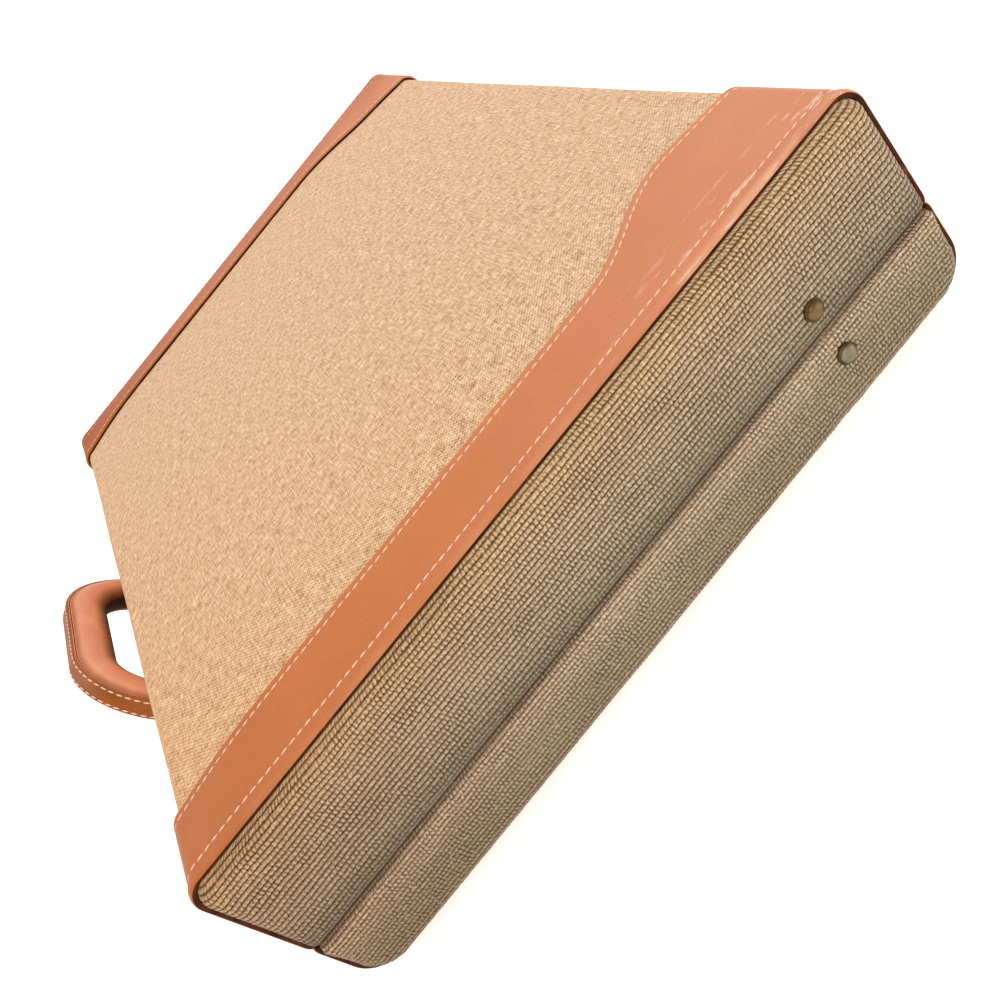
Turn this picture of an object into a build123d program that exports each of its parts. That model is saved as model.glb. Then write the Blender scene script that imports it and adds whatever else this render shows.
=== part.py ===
from build123d import *
from math import cos, radians, sin
import os

os.makedirs("parts", exist_ok=True)

# A hard-sided case of two hinged halves lies on its shallow half.
# X runs along the case, -Y is the handle side, +Y the hinge side, +Z is up.
# The origin is the middle of the footprint, on the surface that the case lies on.

# Driving sizes of the case, in millimetres
CASE_LENGTH = 457.0          # over the two padded ends
CASE_DEPTH = 320.0           # handle wall to hinge wall, over the canvas
SPLIT_HEIGHT = 38.0          # floor to the parting line
DEEP_HEIGHT = 52.2           # parting line to the canvas at the edges of the deep half
RIM_GAP = 0.4                # between the two rims

# Layers of the case wall
WALL = 5.0
BOARD = 3.5
CANVAS = 1.0
LEATHER = 2.4
END_PAD = 4.4
PANEL_MARGIN = 0.2
DEEP_LINING = 0.8
SHALLOW_LINING = 1.2
DEEP_FACE_RADIUS = 6.0
SHALLOW_FACE_RADIUS = 11.0
RIM_RADIUS = 3.0
CAVITY_RADIUS = 3.0
PAD_ROUNDING = 4.0

# Crown of the padding on each large face: a flat middle, rounded off towards all four edges
CROWN = 6.4
CROWN_FLAT_DEEP = 256.0      # along the case, deep half
CROWN_FLAT_SHALLOW = 140.0   # along the case, shallow half
CROWN_FLAT_DEPTH = 100.0
CROWN_MARGIN = 0.5
CROWN_STEPS = (0, 0.4, 0.75, 1)      # heights of the breaks in its slope, as parts of the crown
CROWN_SINK = 1.0             # how far the crowned blocks reach into the shell before it is cut out

# Leather end bands, widths measured in from their outer edge
BAND_WIDTH = 36.0
BAND_SWELL = 57.0
SWELL_STEPS = 4
SWELL_START = 42.0           # full swell, measured from the hinge wall
SWELL_LENGTH = 50.0

# Rim tongue of the shallow half
TONGUE = 1.2
TONGUE_RISE = 4.0
TONGUE_SEAT = 8.0
TONGUE_FROM_KNUCKLE = 16.2   # end of the strip to the knuckles of the stays

# Case hinges
HINGE_OFFSET = 3.2           # hinge axis behind the canvas of the hinge wall
HINGE_FROM_END = 103.5       # end of the case to the middle of a hinge
HINGE_LENGTH = 60.0
HINGE_LEAF = 1.2
HINGE_LEAF_REACH = 19.5
HINGE_KNUCKLE = 2.9
HINGE_KNUCKLES = 3
HINGE_CORNER = 2.9           # cut corners of a leaf
HINGE_PIN = 1.5
HINGE_PIN_EDGE = 0.45
HINGE_CUT = 0.5
HINGE_RIVETS = 3
HINGE_RIVET_MARGIN = 8.0     # outer rivets to the ends of a leaf
HINGE_RIVET_LINE = 12.544    # rivets to the parting line

# Folding stays
STAY_REACH = 56.0            # hinge axis to the stay rivets, along the case wall
STAY_RIVET_SPREAD = 23.0     # between the two rivets of one end
STAY_LINK = 1.5
STAY_WIDTH = 11.0
STAY_GAP = 0.3
STAY_SHANK = 2.0
STAY_DOME = 4.0
STAY_DOME_HEIGHT = 1.6
STAY_DOME_EDGE = 0.64        # height of the dome's upright edge
STAY_DOME_FLAT = 2.4         # radius of its flat top
STAY_HEAD = 1.2
KNUCKLE_HEAD = 3.6

# Locks and hasps
LATCH_FROM_END = 78.5
LOCK_WIDTH = 46.0
LOCK_HEIGHT = 26.0
LOCK_DEPTH = 6.0
LOCK_FROM_SPLIT = 4.5
LOCK_FACE = 1.0
LOCK_CORNER = 4.0
LOCK_EDGE = 0.8              # cut edge round the face
CHANNEL_HEIGHT = 16.0
CHANNEL_DEPTH = 4.0
HASP_WIDTH = 16.0
HASP_PLATE = 2.0
HASP_SIDE_GAP = 0.8
HASP_PIVOT_DROP = 12.5       # hasp pivot below the parting line
HASP_KNUCKLE = 2.6
HASP_KNUCKLE_LENGTH = 9.6
HASP_PIN = 1.2
HASP_LIP = 1.6
HASP_LIP_EDGE = 0.64
HASP_EAR_GAP = 0.4
CATCH_WIDTH = 26.0
CATCH_HEIGHT = 14.0
CATCH_PLATE = 1.2
CATCH_CORNER = 2.0
BUTTON_WIDTH = 7.0
BUTTON_HEIGHT = 5.0
BUTTON_PROUD = 2.0
BUTTON_EDGE = 0.8
BUTTON_FLANGE = 1.2
BUTTON_LIP = 1.5
BUTTON_TRAVEL = 5.0
KEY_PLUG = 3.6
KEY_PROUD = 0.8
KEY_EDGE = 0.4
KEYWAY = 0.9
KEYWAY_LENGTH = 4.32
KEYWAY_DEPTH = 2.4           # from the face of the plug
SIDE_OFFSET = 15.5           # button and key plug to the middle of the lock

# Handle
HANDLE_PIVOT_OUT = 13.3      # pivot in front of the canvas
HANDLE_PIVOT_RISE = 11.5     # pivot above the parting line
HANDLE_TILT = 65.0           # degrees up from straight out
HANDLE_SPREAD = 112.4        # between the two legs
HANDLE_REACH = 37.6
HANDLE_BEND = 31.4
GRIP_HALF_WIDTH = 10.8
GRIP_HALF_THICKNESS = 7.8
GRIP_ROUNDING = 6.8
GRIP_START = 6.0             # pivot to the end of the leather
CORE_WIDTH = 8.0
CORE_THICKNESS = 2.4
EYE = 3.9
EYE_WIDTH = 8.4
EYE_GAP = 0.2
BRACKET_EAR = 2.0
BRACKET_EAR_RADIUS = 4.4
BRACKET_PLATE = 1.6
BRACKET_WIDTH = 30.0
BRACKET_HEIGHT = 17.0
BRACKET_CORNER = 4.0
BRACKET_RIVET_MARGIN = 3.96  # rivets to the ends of the plate
BRACKET_RISE = 1.0           # middle of the plate above the pivot
HANDLE_PIN = 1.8

# Glides that the case stands on when it is upright
GLIDE_FROM_END = 28.5
GLIDE_RADIUS = 6.4
GLIDE_HEIGHT = 5.2
GLIDE_EDGE = 2.08            # height of the upright edge
GLIDE_FLAT = 3.6
DEEP_GLIDE_RISE = 25.0
SHALLOW_GLIDE_DROP = 13.1

# Document pocket in the shallow half
POCKET_FROM_END = 38.5
POCKET_FROM_HANDLE = 41.8
POCKET_SHEET = 1.2
POCKET_ROOM = 2.4
POCKET_SEAM = 4.8            # sewn border, and the cut corners
POCKET_FROM_HINGE = 26.0

# Clearances and small rivets
RUNNING = 0.08
SEATED = 0.03
WELD = 1.0                   # overlap of two shapes that are one piece
TACK_SHANK = 1.2
TACK_HEAD = 2.2
TACK_HEAD_HEIGHT = 0.9
TACK_SIDES = 8
TACK_TAPER = 40.0
TACK_BITE = 3.0

# Places that follow from the sizes above
half_length = CASE_LENGTH / 2
shell_end = half_length - END_PAD
wall_y = CASE_DEPTH / 2
shell_y = wall_y - CANVAS
band_y = wall_y + LEATHER
hinge_y = wall_y + HINGE_OFFSET
rivet_y = hinge_y - STAY_REACH
knuckle_y = hinge_y - 2 * STAY_REACH
deep_top = SPLIT_HEIGHT + DEEP_HEIGHT
handle_x = HANDLE_SPREAD / 2
hinge_x = half_length - HINGE_FROM_END
latch_x = half_length - LATCH_FROM_END
glide_x = half_length - GLIDE_FROM_END
pocket_x = half_length - POCKET_FROM_END
parts = {}


class Half:
    """One half of the case: where its outer face and its rim lie."""

    def __init__(self, name, up, face, rim, radius, lining, flat):
        self.name, self.up, self.face, self.rim = name, up, face, rim
        self.radius, self.lining, self.flat = radius, lining, flat

    def z(self, depth):
        """Height at a depth below the outer face of the shell."""
        return self.face - self.up * depth


deep = Half("base", 1, deep_top - CANVAS, SPLIT_HEIGHT + RIM_GAP / 2, DEEP_FACE_RADIUS,
            DEEP_LINING, CROWN_FLAT_DEEP)
shallow = Half("lid", -1, CROWN + CANVAS, SPLIT_HEIGHT - RIM_GAP / 2, SHALLOW_FACE_RADIUS,
               SHALLOW_LINING, CROWN_FLAT_SHALLOW)


def span_box(x0, x1, y0, y1, z0, z1):
    """Box between two corners, given in any order."""
    size = (abs(x1 - x0), abs(y1 - y0), abs(z1 - z0))
    return Pos((x0 + x1) / 2, (y0 + y1) / 2, (z0 + z1) / 2) * Box(*size)


def rod(start, direction, radius, length):
    """Cylinder from a point along a direction."""
    plane = Plane(origin=start, z_dir=direction)
    return extrude(plane * Circle(radius), length)


def outline(half, grow, rim_grow=None):
    """Section of a half across the case, grown outwards from its shell and cut at its rim."""
    rim_grow = grow if rim_grow is None else rim_grow
    width = 2 * (shell_y + grow)
    face, rim = half.z(-grow), half.rim - half.up * rim_grow
    middle, height = (face + rim) / 2, abs(face - rim)
    section = Pos(0, middle) * Rectangle(width, height)
    at_face = [v for v in section.vertices() if (v.Y - middle) * half.up > 0]
    section = fillet(at_face, half.radius + grow)
    at_rim = [v for v in section.vertices() if abs(v.Y - rim) < 0.01]
    section = fillet(at_rim, RIM_RADIUS + rim_grow)
    keep = Pos(0, half.rim + half.up * height) * Rectangle(2 * width, 2 * height)
    return section & keep


def along_case(section, x0, x1):
    """Extrude a section from one place along the case to another."""
    return extrude(Plane.YZ.offset(min(x0, x1)) * section, abs(x1 - x0))


def cavity(half, inset):
    """Room inside a half, drawn in from the inner faces of its shell."""
    depth = abs(half.rim - half.z(BOARD + inset))
    width = 2 * (shell_y - WALL - inset)
    start = half.rim + half.up * depth / 2
    section = Pos(0, start) * Rectangle(width, depth)
    deepest = [v for v in section.vertices() if (v.Y - start) * half.up > 0]
    section = fillet(deepest, CAVITY_RADIUS)
    end = shell_end - WALL - inset
    return along_case(section, -end, end)


def band_width(part):
    """Width of a leather band on its way from plain, at 0, to the full swell, at 1."""
    return BAND_WIDTH + (BAND_SWELL - BAND_WIDTH) * sin(radians(90 * part)) ** 2


def band_cutter():
    """Everything inside the inner edges of the right-hand band, seen from above."""
    full_y = wall_y - SWELL_START
    outside = 2 * CASE_DEPTH
    steps = [index / SWELL_STEPS for index in range(SWELL_STEPS + 1)]
    wave = Spline(*[(shell_end - band_width(part), full_y - SWELL_LENGTH * (1 - part)) for part in steps],
                  tangents=[(0, 1), (0, 1)])
    first, last = wave @ 0, wave @ 1
    rest = Polyline(last, (last.X, outside), (-outside, outside), (-outside, -outside),
                    (first.X, -outside), first)
    return extrude(Pos(0, 0, -outside) * make_face([wave, rest]), 2 * outside)


def crown(half, lift):
    """Crowned block on the outer face of a shell, over the given thickness of layers."""
    foot_y = shell_y - half.radius - CROWN_MARGIN
    flat_x, flat_y = half.flat / 2, CROWN_FLAT_DEPTH / 2
    steps = []
    for part in CROWN_STEPS:
        out = (1 - part) ** 0.5
        sides = (2 * (flat_x + (shell_end - flat_x) * out), 2 * (flat_y + (foot_y - flat_y) * out))
        steps.append(Pos(0, 0, lift + CROWN * part) * Rectangle(*sides))
    foot = span_box(-shell_end, shell_end, -foot_y, foot_y, -CROWN_SINK, lift)
    turn = 0 if half.up > 0 else 180
    return Pos(0, 0, half.face) * Rot(turn, 0, 0) * (foot + loft(steps, ruled=True))


def block(half, grow):
    """A half with its crown, grown outwards from the shell by the layers up to here."""
    return along_case(outline(half, grow), -shell_end, shell_end) + crown(half, grow)


def tack(start, direction, grip):
    """Small rivet whose head sits on a surface and whose shank goes into the wall."""
    out = Vector(*direction)
    plane = Plane(origin=start, z_dir=out)
    head = extrude(plane * RegularPolygon(TACK_HEAD, TACK_SIDES), TACK_HEAD_HEIGHT, taper=TACK_TAPER)
    return head + extrude(plane * RegularPolygon(TACK_SHANK, TACK_SIDES), -grip)


def tack_hole(start, direction, grip):
    """Hole for the shank of a small rivet."""
    plane = Plane(origin=start, z_dir=Vector(*direction))
    return extrude(plane * RegularPolygon(TACK_SHANK + SEATED, TACK_SIDES), -grip)


# Shells, covers and linings of the two halves
cutter = band_cutter()
for half in (deep, shallow):
    solid = along_case(outline(half, 0), -shell_end, shell_end)
    parts[half.name + "_shell"] = solid - cavity(half, 0)
    parts[half.name + "_padding"] = crown(half, 0) - solid
    cover = block(half, CANVAS)
    parts[half.name + "_canvas"] = cover - solid - crown(half, 0)
    band = block(half, CANVAS + LEATHER) - cover - cutter
    parts[half.name + "_leather_right"] = band
    parts[half.name + "_leather_left"] = mirror(band, Plane.YZ)
    parts[half.name + "_lining"] = cavity(half, 0) - cavity(half, half.lining)
    pad = along_case(outline(half, CANVAS - PANEL_MARGIN, 0), shell_end, half_length)
    pad = fillet(pad.faces().sort_by(Axis.X)[-1].edges(), PAD_ROUNDING)
    parts[half.name + "_end_panel_right"] = pad
    parts[half.name + "_end_panel_left"] = mirror(pad, Plane.YZ)

# Tongue strip round the handle side of the shallow rim
seat_x = shell_end - WALL - SHALLOW_LINING
seat_y = shell_y - WALL - SHALLOW_LINING
low, high = SPLIT_HEIGHT - TONGUE_SEAT, SPLIT_HEIGHT + TONGUE_RISE
tongue_end = knuckle_y - TONGUE_FROM_KNUCKLE
strip = span_box(-seat_x, seat_x, -seat_y, tongue_end, low, high)
inner = span_box(TONGUE - seat_x, seat_x - TONGUE, TONGUE - seat_y, tongue_end, low, high)
parts["rim_tongue"] = strip - inner

# Document pocket, closed on three sides and open towards the handle
floor_z = shallow.z(BOARD + SHALLOW_LINING)
back_y = seat_y - POCKET_FROM_HINGE
thick = POCKET_ROOM + POCKET_SHEET
mouth_y = POCKET_FROM_HANDLE - seat_y
pocket = span_box(-pocket_x, pocket_x, mouth_y, back_y, floor_z, floor_z + thick)
pocket = chamfer(pocket.edges().filter_by(Axis.Z), POCKET_SEAM)
hollow_x = pocket_x - POCKET_SEAM
hollow = span_box(-hollow_x, hollow_x, mouth_y, back_y - POCKET_SEAM, floor_z, floor_z + POCKET_ROOM)
parts["document_pocket"] = pocket - hollow


def hinge_leaf(middle, half):
    """Leaf with its own knuckles; the other leaf has the knuckles between them."""
    pitch = HINGE_LENGTH / HINGE_KNUCKLES
    end = SPLIT_HEIGHT + half.up * HINGE_LEAF_REACH
    gap = HINGE_KNUCKLE + HINGE_CUT
    leaf = span_box(middle - HINGE_LENGTH / 2, middle + HINGE_LENGTH / 2, wall_y, wall_y + HINGE_LEAF,
                    SPLIT_HEIGHT + half.up * gap, end)
    corners = leaf.edges().filter_by(Axis.Y).sort_by(Axis.Z)
    leaf = chamfer(corners[-2:] if half.up > 0 else corners[:2], HINGE_CORNER)
    mine = range(1, HINGE_KNUCKLES, 2) if half is deep else range(0, HINGE_KNUCKLES, 2)
    for index in mine:
        x0 = middle - HINGE_LENGTH / 2 + index * pitch + HINGE_CUT / 2
        x1 = x0 + pitch - HINGE_CUT
        leaf += span_box(x0, x1, wall_y + HINGE_CUT, wall_y + HINGE_LEAF, SPLIT_HEIGHT,
                         SPLIT_HEIGHT + half.up * (gap + WELD))
        leaf += rod((x0, hinge_y, SPLIT_HEIGHT), (1, 0, 0), HINGE_KNUCKLE, x1 - x0)
    bore = HINGE_PIN + (RUNNING if half is deep else SEATED)
    return leaf - rod((middle - HINGE_LENGTH, hinge_y, SPLIT_HEIGHT), (1, 0, 0), bore, 2 * HINGE_LENGTH)


def hinge_tacks(middle, half):
    """Places of the rivets of one hinge leaf."""
    step = (HINGE_LENGTH - 2 * HINGE_RIVET_MARGIN) / (HINGE_RIVETS - 1)
    z = SPLIT_HEIGHT + half.up * HINGE_RIVET_LINE
    first = middle - HINGE_LENGTH / 2 + HINGE_RIVET_MARGIN
    return [(first + index * step, wall_y + HINGE_LEAF, z) for index in range(HINGE_RIVETS)]


# Case hinges with their pins and rivets
for side, middle in (("right", hinge_x), ("left", -hinge_x)):
    for half in (deep, shallow):
        parts["hinge_leaf_" + half.name + "_" + side] = hinge_leaf(middle, half)
    pin = rod((middle - HINGE_LENGTH / 2, hinge_y, SPLIT_HEIGHT), (1, 0, 0), HINGE_PIN, HINGE_LENGTH)
    parts["hinge_pin_" + side] = chamfer(pin.edges().filter_by(GeomType.CIRCLE), HINGE_PIN_EDGE)
bite = HINGE_LEAF + CANVAS + TACK_BITE
for half in (deep, shallow):
    spots = hinge_tacks(hinge_x, half) + hinge_tacks(-hinge_x, half)
    parts["hinge_rivets_" + half.name] = Compound([tack(spot, (0, 1, 0), bite) for spot in spots])
    holes = [tack_hole(spot, (0, 1, 0), bite) for spot in spots]
    for name in ("_shell", "_canvas"):
        parts[half.name + name] -= holes
    for side in ("right", "left"):
        parts["hinge_leaf_" + half.name + "_" + side] -= holes

# Stays: two rivets and the knuckle of each end make a rhombus with the hinge axis
spread = STAY_RIVET_SPREAD / 2
outer_link = seat_x - STAY_GAP
inner_link = outer_link - STAY_LINK - STAY_GAP


def stay_link(x, z, bore_at_knuckle):
    """Link from a rivet to the knuckle, in one layer beside the end wall."""
    ends = [(rivet_y, z), (knuckle_y, SPLIT_HEIGHT)]
    tilt = Vector(ends[1][0] - ends[0][0], ends[1][1] - ends[0][1])
    middle = ((ends[0][0] + ends[1][0]) / 2, (ends[0][1] + ends[1][1]) / 2)
    lean = -tilt.get_signed_angle(Vector(1, 0))
    bar = Pos(*middle) * Rot(0, 0, lean) * SlotCenterToCenter(tilt.length, STAY_WIDTH)
    bar -= Pos(*ends[0]) * Circle(STAY_SHANK + RUNNING)
    bar -= Pos(*ends[1]) * Circle(bore_at_knuckle)
    return along_case(bar, x - STAY_LINK, x)


def stay_rivet(z, link_x, lining_x):
    """Domed rivet through the end wall, with a shoulder up to its link and a head inside."""
    dome = rod((half_length, rivet_y, z), (1, 0, 0), STAY_DOME, STAY_DOME_HEIGHT)
    rim = dome.edges().sort_by(Axis.X)[-1]
    dome = chamfer(rim, STAY_DOME_HEIGHT - STAY_DOME_EDGE, STAY_DOME - STAY_DOME_FLAT)
    inside = link_x - STAY_LINK - RUNNING - STAY_HEAD
    shank = rod((inside, rivet_y, z), (1, 0, 0), STAY_SHANK, half_length - inside)
    shoulder = rod((link_x + RUNNING, rivet_y, z), (1, 0, 0), STAY_DOME, lining_x - link_x - RUNNING)
    head = rod((inside, rivet_y, z), (1, 0, 0), STAY_DOME, STAY_HEAD)
    return dome + shank + shoulder + head


low_z, high_z = SPLIT_HEIGHT - spread, SPLIT_HEIGHT + spread
deep_seat_x = shell_end - WALL - DEEP_LINING
lower = stay_link(outer_link, low_z, STAY_SHANK + SEATED)
upper = stay_link(inner_link, high_z, STAY_SHANK + RUNNING)
knuckle_in = inner_link - STAY_LINK - RUNNING - STAY_HEAD
knuckle = rod((knuckle_in, knuckle_y, SPLIT_HEIGHT), (1, 0, 0), STAY_SHANK, outer_link - knuckle_in)
knuckle += rod((knuckle_in, knuckle_y, SPLIT_HEIGHT), (1, 0, 0), KNUCKLE_HEAD, STAY_HEAD)
rivets = {"lid": stay_rivet(low_z, outer_link, seat_x), "base": stay_rivet(high_z, inner_link, deep_seat_x)}
for side in ("right", "left"):
    turn = (lambda s: s) if side == "right" else (lambda s: mirror(s, Plane.YZ))
    parts["stay_lower_" + side] = turn(lower)
    parts["stay_upper_" + side] = turn(upper)
    parts["stay_knuckle_" + side] = turn(knuckle)
for name, rivet in rivets.items():
    parts["stay_rivets_" + name] = Compound([rivet, mirror(rivet, Plane.YZ)])
    z = low_z if name == "lid" else high_z
    bore = rod((-CASE_LENGTH, rivet_y, z), (1, 0, 0), STAY_SHANK + SEATED, 2 * CASE_LENGTH)
    for piece in ("_shell", "_lining", "_end_panel_right", "_end_panel_left"):
        parts[name + piece] -= bore

# Locks on the deep half
lock_low = SPLIT_HEIGHT + LOCK_FROM_SPLIT
lock_high = lock_low + LOCK_HEIGHT
lock_front = -wall_y - LOCK_DEPTH
key_z = lock_low + LOCK_HEIGHT / 2
slot_x = BUTTON_WIDTH + 2 * SEATED + BUTTON_TRAVEL
hasp_back = lock_front + HASP_PLATE + SEATED
pivot_y = lock_front + HASP_PLATE / 2 + SEATED
pivot_z = SPLIT_HEIGHT - HASP_PIVOT_DROP


def lock_case():
    """Lock body with a channel for the hasp, a slot for the button and a bore for the key plug."""
    body = span_box(-LOCK_WIDTH / 2, LOCK_WIDTH / 2, lock_front, -wall_y, lock_low, lock_high)
    body = chamfer(body.edges().filter_by(Axis.Y), LOCK_CORNER)
    body = chamfer(body.faces().sort_by(Axis.Y)[0].edges(), LOCK_EDGE)
    half_channel = HASP_WIDTH / 2 + HASP_SIDE_GAP
    body -= span_box(-half_channel, half_channel, lock_front, lock_front + CHANNEL_DEPTH, lock_low,
                     lock_low + CHANNEL_HEIGHT)
    body -= rod((-SIDE_OFFSET, lock_front, key_z), (0, 1, 0), KEY_PLUG + RUNNING, LOCK_DEPTH - LOCK_FACE)
    first = SIDE_OFFSET - slot_x / 2
    body -= span_box(first, first + slot_x, lock_front, lock_front + 2 * LOCK_FACE,
                     key_z - BUTTON_HEIGHT / 2 - RUNNING, key_z + BUTTON_HEIGHT / 2 + RUNNING)
    lip = BUTTON_LIP / 2 + 2 * RUNNING
    body -= span_box(first - lip, first + slot_x + lip, lock_front + LOCK_FACE, -wall_y - LOCK_FACE,
                     key_z - BUTTON_HEIGHT / 2 - BUTTON_LIP - RUNNING,
                     key_z + BUTTON_HEIGHT / 2 + BUTTON_LIP + RUNNING)
    return body


def lock_button():
    """Sliding button with a flange behind the face of the lock, at the inner end of its slot."""
    middle = SIDE_OFFSET - BUTTON_TRAVEL / 2
    knob = span_box(middle - BUTTON_WIDTH / 2, middle + BUTTON_WIDTH / 2, lock_front - BUTTON_PROUD,
                    lock_front + LOCK_FACE + RUNNING, key_z - BUTTON_HEIGHT / 2, key_z + BUTTON_HEIGHT / 2)
    front = knob.faces().sort_by(Axis.Y)[0]
    knob = chamfer(front.edges(), BUTTON_EDGE)
    flange_y = lock_front + LOCK_FACE + RUNNING
    knob += span_box(middle - (BUTTON_WIDTH + BUTTON_LIP) / 2, middle + (BUTTON_WIDTH + BUTTON_LIP) / 2,
                     flange_y, flange_y + BUTTON_FLANGE,
                     key_z - BUTTON_HEIGHT / 2 - BUTTON_LIP, key_z + BUTTON_HEIGHT / 2 + BUTTON_LIP)
    return knob


def key_plug():
    """Round plug with a keyway."""
    plug = rod((-SIDE_OFFSET, lock_front - KEY_PROUD, key_z), (0, 1, 0), KEY_PLUG,
               LOCK_DEPTH - LOCK_FACE + KEY_PROUD - SEATED)
    face = lock_front - KEY_PROUD
    plug = chamfer(plug.edges().sort_by(Axis.Y)[0], KEY_EDGE)
    return plug - span_box(-SIDE_OFFSET - KEYWAY / 2, KEYWAY / 2 - SIDE_OFFSET, face, face + KEYWAY_DEPTH,
                           key_z - KEYWAY_LENGTH / 2, key_z + KEYWAY_LENGTH / 2)


def hasp():
    """Plate that folds up over the lock, with a knuckle at its foot and a finger lip at its top."""
    top = lock_low + CHANNEL_HEIGHT - HASP_SIDE_GAP
    foot = pivot_z + HASP_KNUCKLE + HINGE_CUT
    half = HASP_WIDTH / 2
    plate = span_box(-half, half, lock_front + SEATED, hasp_back, foot, top)
    plate += span_box(-half, half, lock_front - HASP_LIP, lock_front + SEATED, top - 2 * HASP_PLATE,
                      top - HASP_LIP)
    plate = chamfer(plate.edges().filter_by(Axis.X).sort_by(Axis.Y)[:2], HASP_LIP_EDGE)
    knuckle_half = HASP_KNUCKLE_LENGTH / 2
    plate += span_box(-knuckle_half, knuckle_half, lock_front + SEATED, hasp_back, pivot_z, foot + WELD)
    plate += rod((-knuckle_half, pivot_y, pivot_z), (1, 0, 0), HASP_KNUCKLE, HASP_KNUCKLE_LENGTH)
    return plate - rod((-half, pivot_y, pivot_z), (1, 0, 0), HASP_PIN + RUNNING, HASP_WIDTH)


def catch_plate():
    """Plate on the shallow half with the two ears that carry the hasp."""
    plate = span_box(-CATCH_WIDTH / 2, CATCH_WIDTH / 2, -wall_y - CATCH_PLATE, -wall_y,
                     pivot_z - CATCH_HEIGHT / 2, pivot_z + CATCH_HEIGHT / 2)
    plate = chamfer(plate.edges().filter_by(Axis.Y), CATCH_CORNER)
    start = HASP_KNUCKLE_LENGTH / 2 + HASP_EAR_GAP
    for x0, x1 in ((start, HASP_WIDTH / 2), (-HASP_WIDTH / 2, -start)):
        plate += span_box(x0, x1, pivot_y, -wall_y, pivot_z - HASP_KNUCKLE, pivot_z + HASP_KNUCKLE)
        plate += rod((x0, pivot_y, pivot_z), (1, 0, 0), HASP_KNUCKLE, x1 - x0)
    return plate - rod((-HASP_WIDTH, pivot_y, pivot_z), (1, 0, 0), HASP_PIN + SEATED, 2 * HASP_WIDTH)


hasp_pin = rod((-HASP_WIDTH / 2, pivot_y, pivot_z), (1, 0, 0), HASP_PIN, HASP_WIDTH)
catch_spots = [(x, -wall_y - CATCH_PLATE, pivot_z) for x in
               (-CATCH_WIDTH / 2 + TACK_HEAD, CATCH_WIDTH / 2 - TACK_HEAD)]
catch_bite = CATCH_PLATE + CANVAS + TACK_BITE
latch_pieces = {"lock_case": lock_case(), "lock_button": lock_button(), "key_plug": key_plug(),
                "hasp": hasp(), "catch_plate": catch_plate(), "hasp_pin": hasp_pin}
latch_tacks, latch_holes = [], []
for side, x in (("right", latch_x), ("left", -latch_x)):
    for name, piece in latch_pieces.items():
        placed = piece if side == "right" else mirror(piece, Plane.YZ)
        parts[name + "_" + side] = Pos(x, 0, 0) * placed
    for spot in catch_spots:
        place = (x + spot[0], spot[1], spot[2])
        latch_tacks.append(tack(place, (0, -1, 0), catch_bite))
        latch_holes.append(tack_hole(place, (0, -1, 0), catch_bite))
    parts["catch_plate_" + side] -= latch_holes
parts["catch_rivets"] = Compound(latch_tacks)
for name in ("lid_shell", "lid_canvas"):
    parts[name] -= latch_holes

# Handle: the grip is swept round a steel core that turns in two brackets
pivot = Vector(0, -wall_y - HANDLE_PIVOT_OUT, SPLIT_HEIGHT + HANDLE_PIVOT_RISE)
tilt = radians(HANDLE_TILT)
handle_plane = Plane(origin=pivot, x_dir=(1, 0, 0), z_dir=(0, -sin(tilt), -cos(tilt)))
plate_z = pivot.Z + BRACKET_RISE


def handle_path(start):
    """Centre line of the handle, from one leg round to the other."""
    return FilletPolyline((handle_x, start), (handle_x, HANDLE_REACH), (-handle_x, HANDLE_REACH),
                          (-handle_x, start), radius=HANDLE_BEND)


def sweep_handle(section, start):
    """Sweep a section along the handle, its second axis square to the handle's plane."""
    path = handle_plane * handle_path(start)
    across = Plane(origin=path @ 0, x_dir=(1, 0, 0), z_dir=path % 0)
    return sweep(across * section, path)


roll = RectangleRounded(2 * GRIP_HALF_WIDTH, 2 * GRIP_HALF_THICKNESS, GRIP_ROUNDING)
grip = sweep_handle(roll - Rectangle(CORE_THICKNESS + 2 * SEATED, CORE_WIDTH + 2 * SEATED), GRIP_START)
core = sweep_handle(Rectangle(CORE_THICKNESS, CORE_WIDTH), 0)
for x in (handle_x, -handle_x):
    core += rod((x - EYE_WIDTH / 2, pivot.Y, pivot.Z), (1, 0, 0), EYE, EYE_WIDTH)
core -= rod((-CASE_LENGTH / 2, pivot.Y, pivot.Z), (1, 0, 0), HANDLE_PIN + RUNNING, CASE_LENGTH)
parts["handle_grip"] = grip
parts["handle_core"] = core


def bracket():
    """Wall plate with two ears for the handle pin."""
    plate = span_box(-BRACKET_WIDTH / 2, BRACKET_WIDTH / 2, -wall_y - BRACKET_PLATE, -wall_y,
                     plate_z - BRACKET_HEIGHT / 2, plate_z + BRACKET_HEIGHT / 2)
    plate = chamfer(plate.edges().filter_by(Axis.Y), BRACKET_CORNER)
    near = EYE_WIDTH / 2 + EYE_GAP
    for x0, x1 in ((near, near + BRACKET_EAR), (-near - BRACKET_EAR, -near)):
        plate += span_box(x0, x1, pivot.Y, -wall_y, pivot.Z - BRACKET_EAR_RADIUS,
                          pivot.Z + BRACKET_EAR_RADIUS)
        plate += rod((x0, pivot.Y, pivot.Z), (1, 0, 0), BRACKET_EAR_RADIUS, x1 - x0)
    return plate - rod((-BRACKET_WIDTH, pivot.Y, pivot.Z), (1, 0, 0), HANDLE_PIN + SEATED, 2 * BRACKET_WIDTH)


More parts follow.
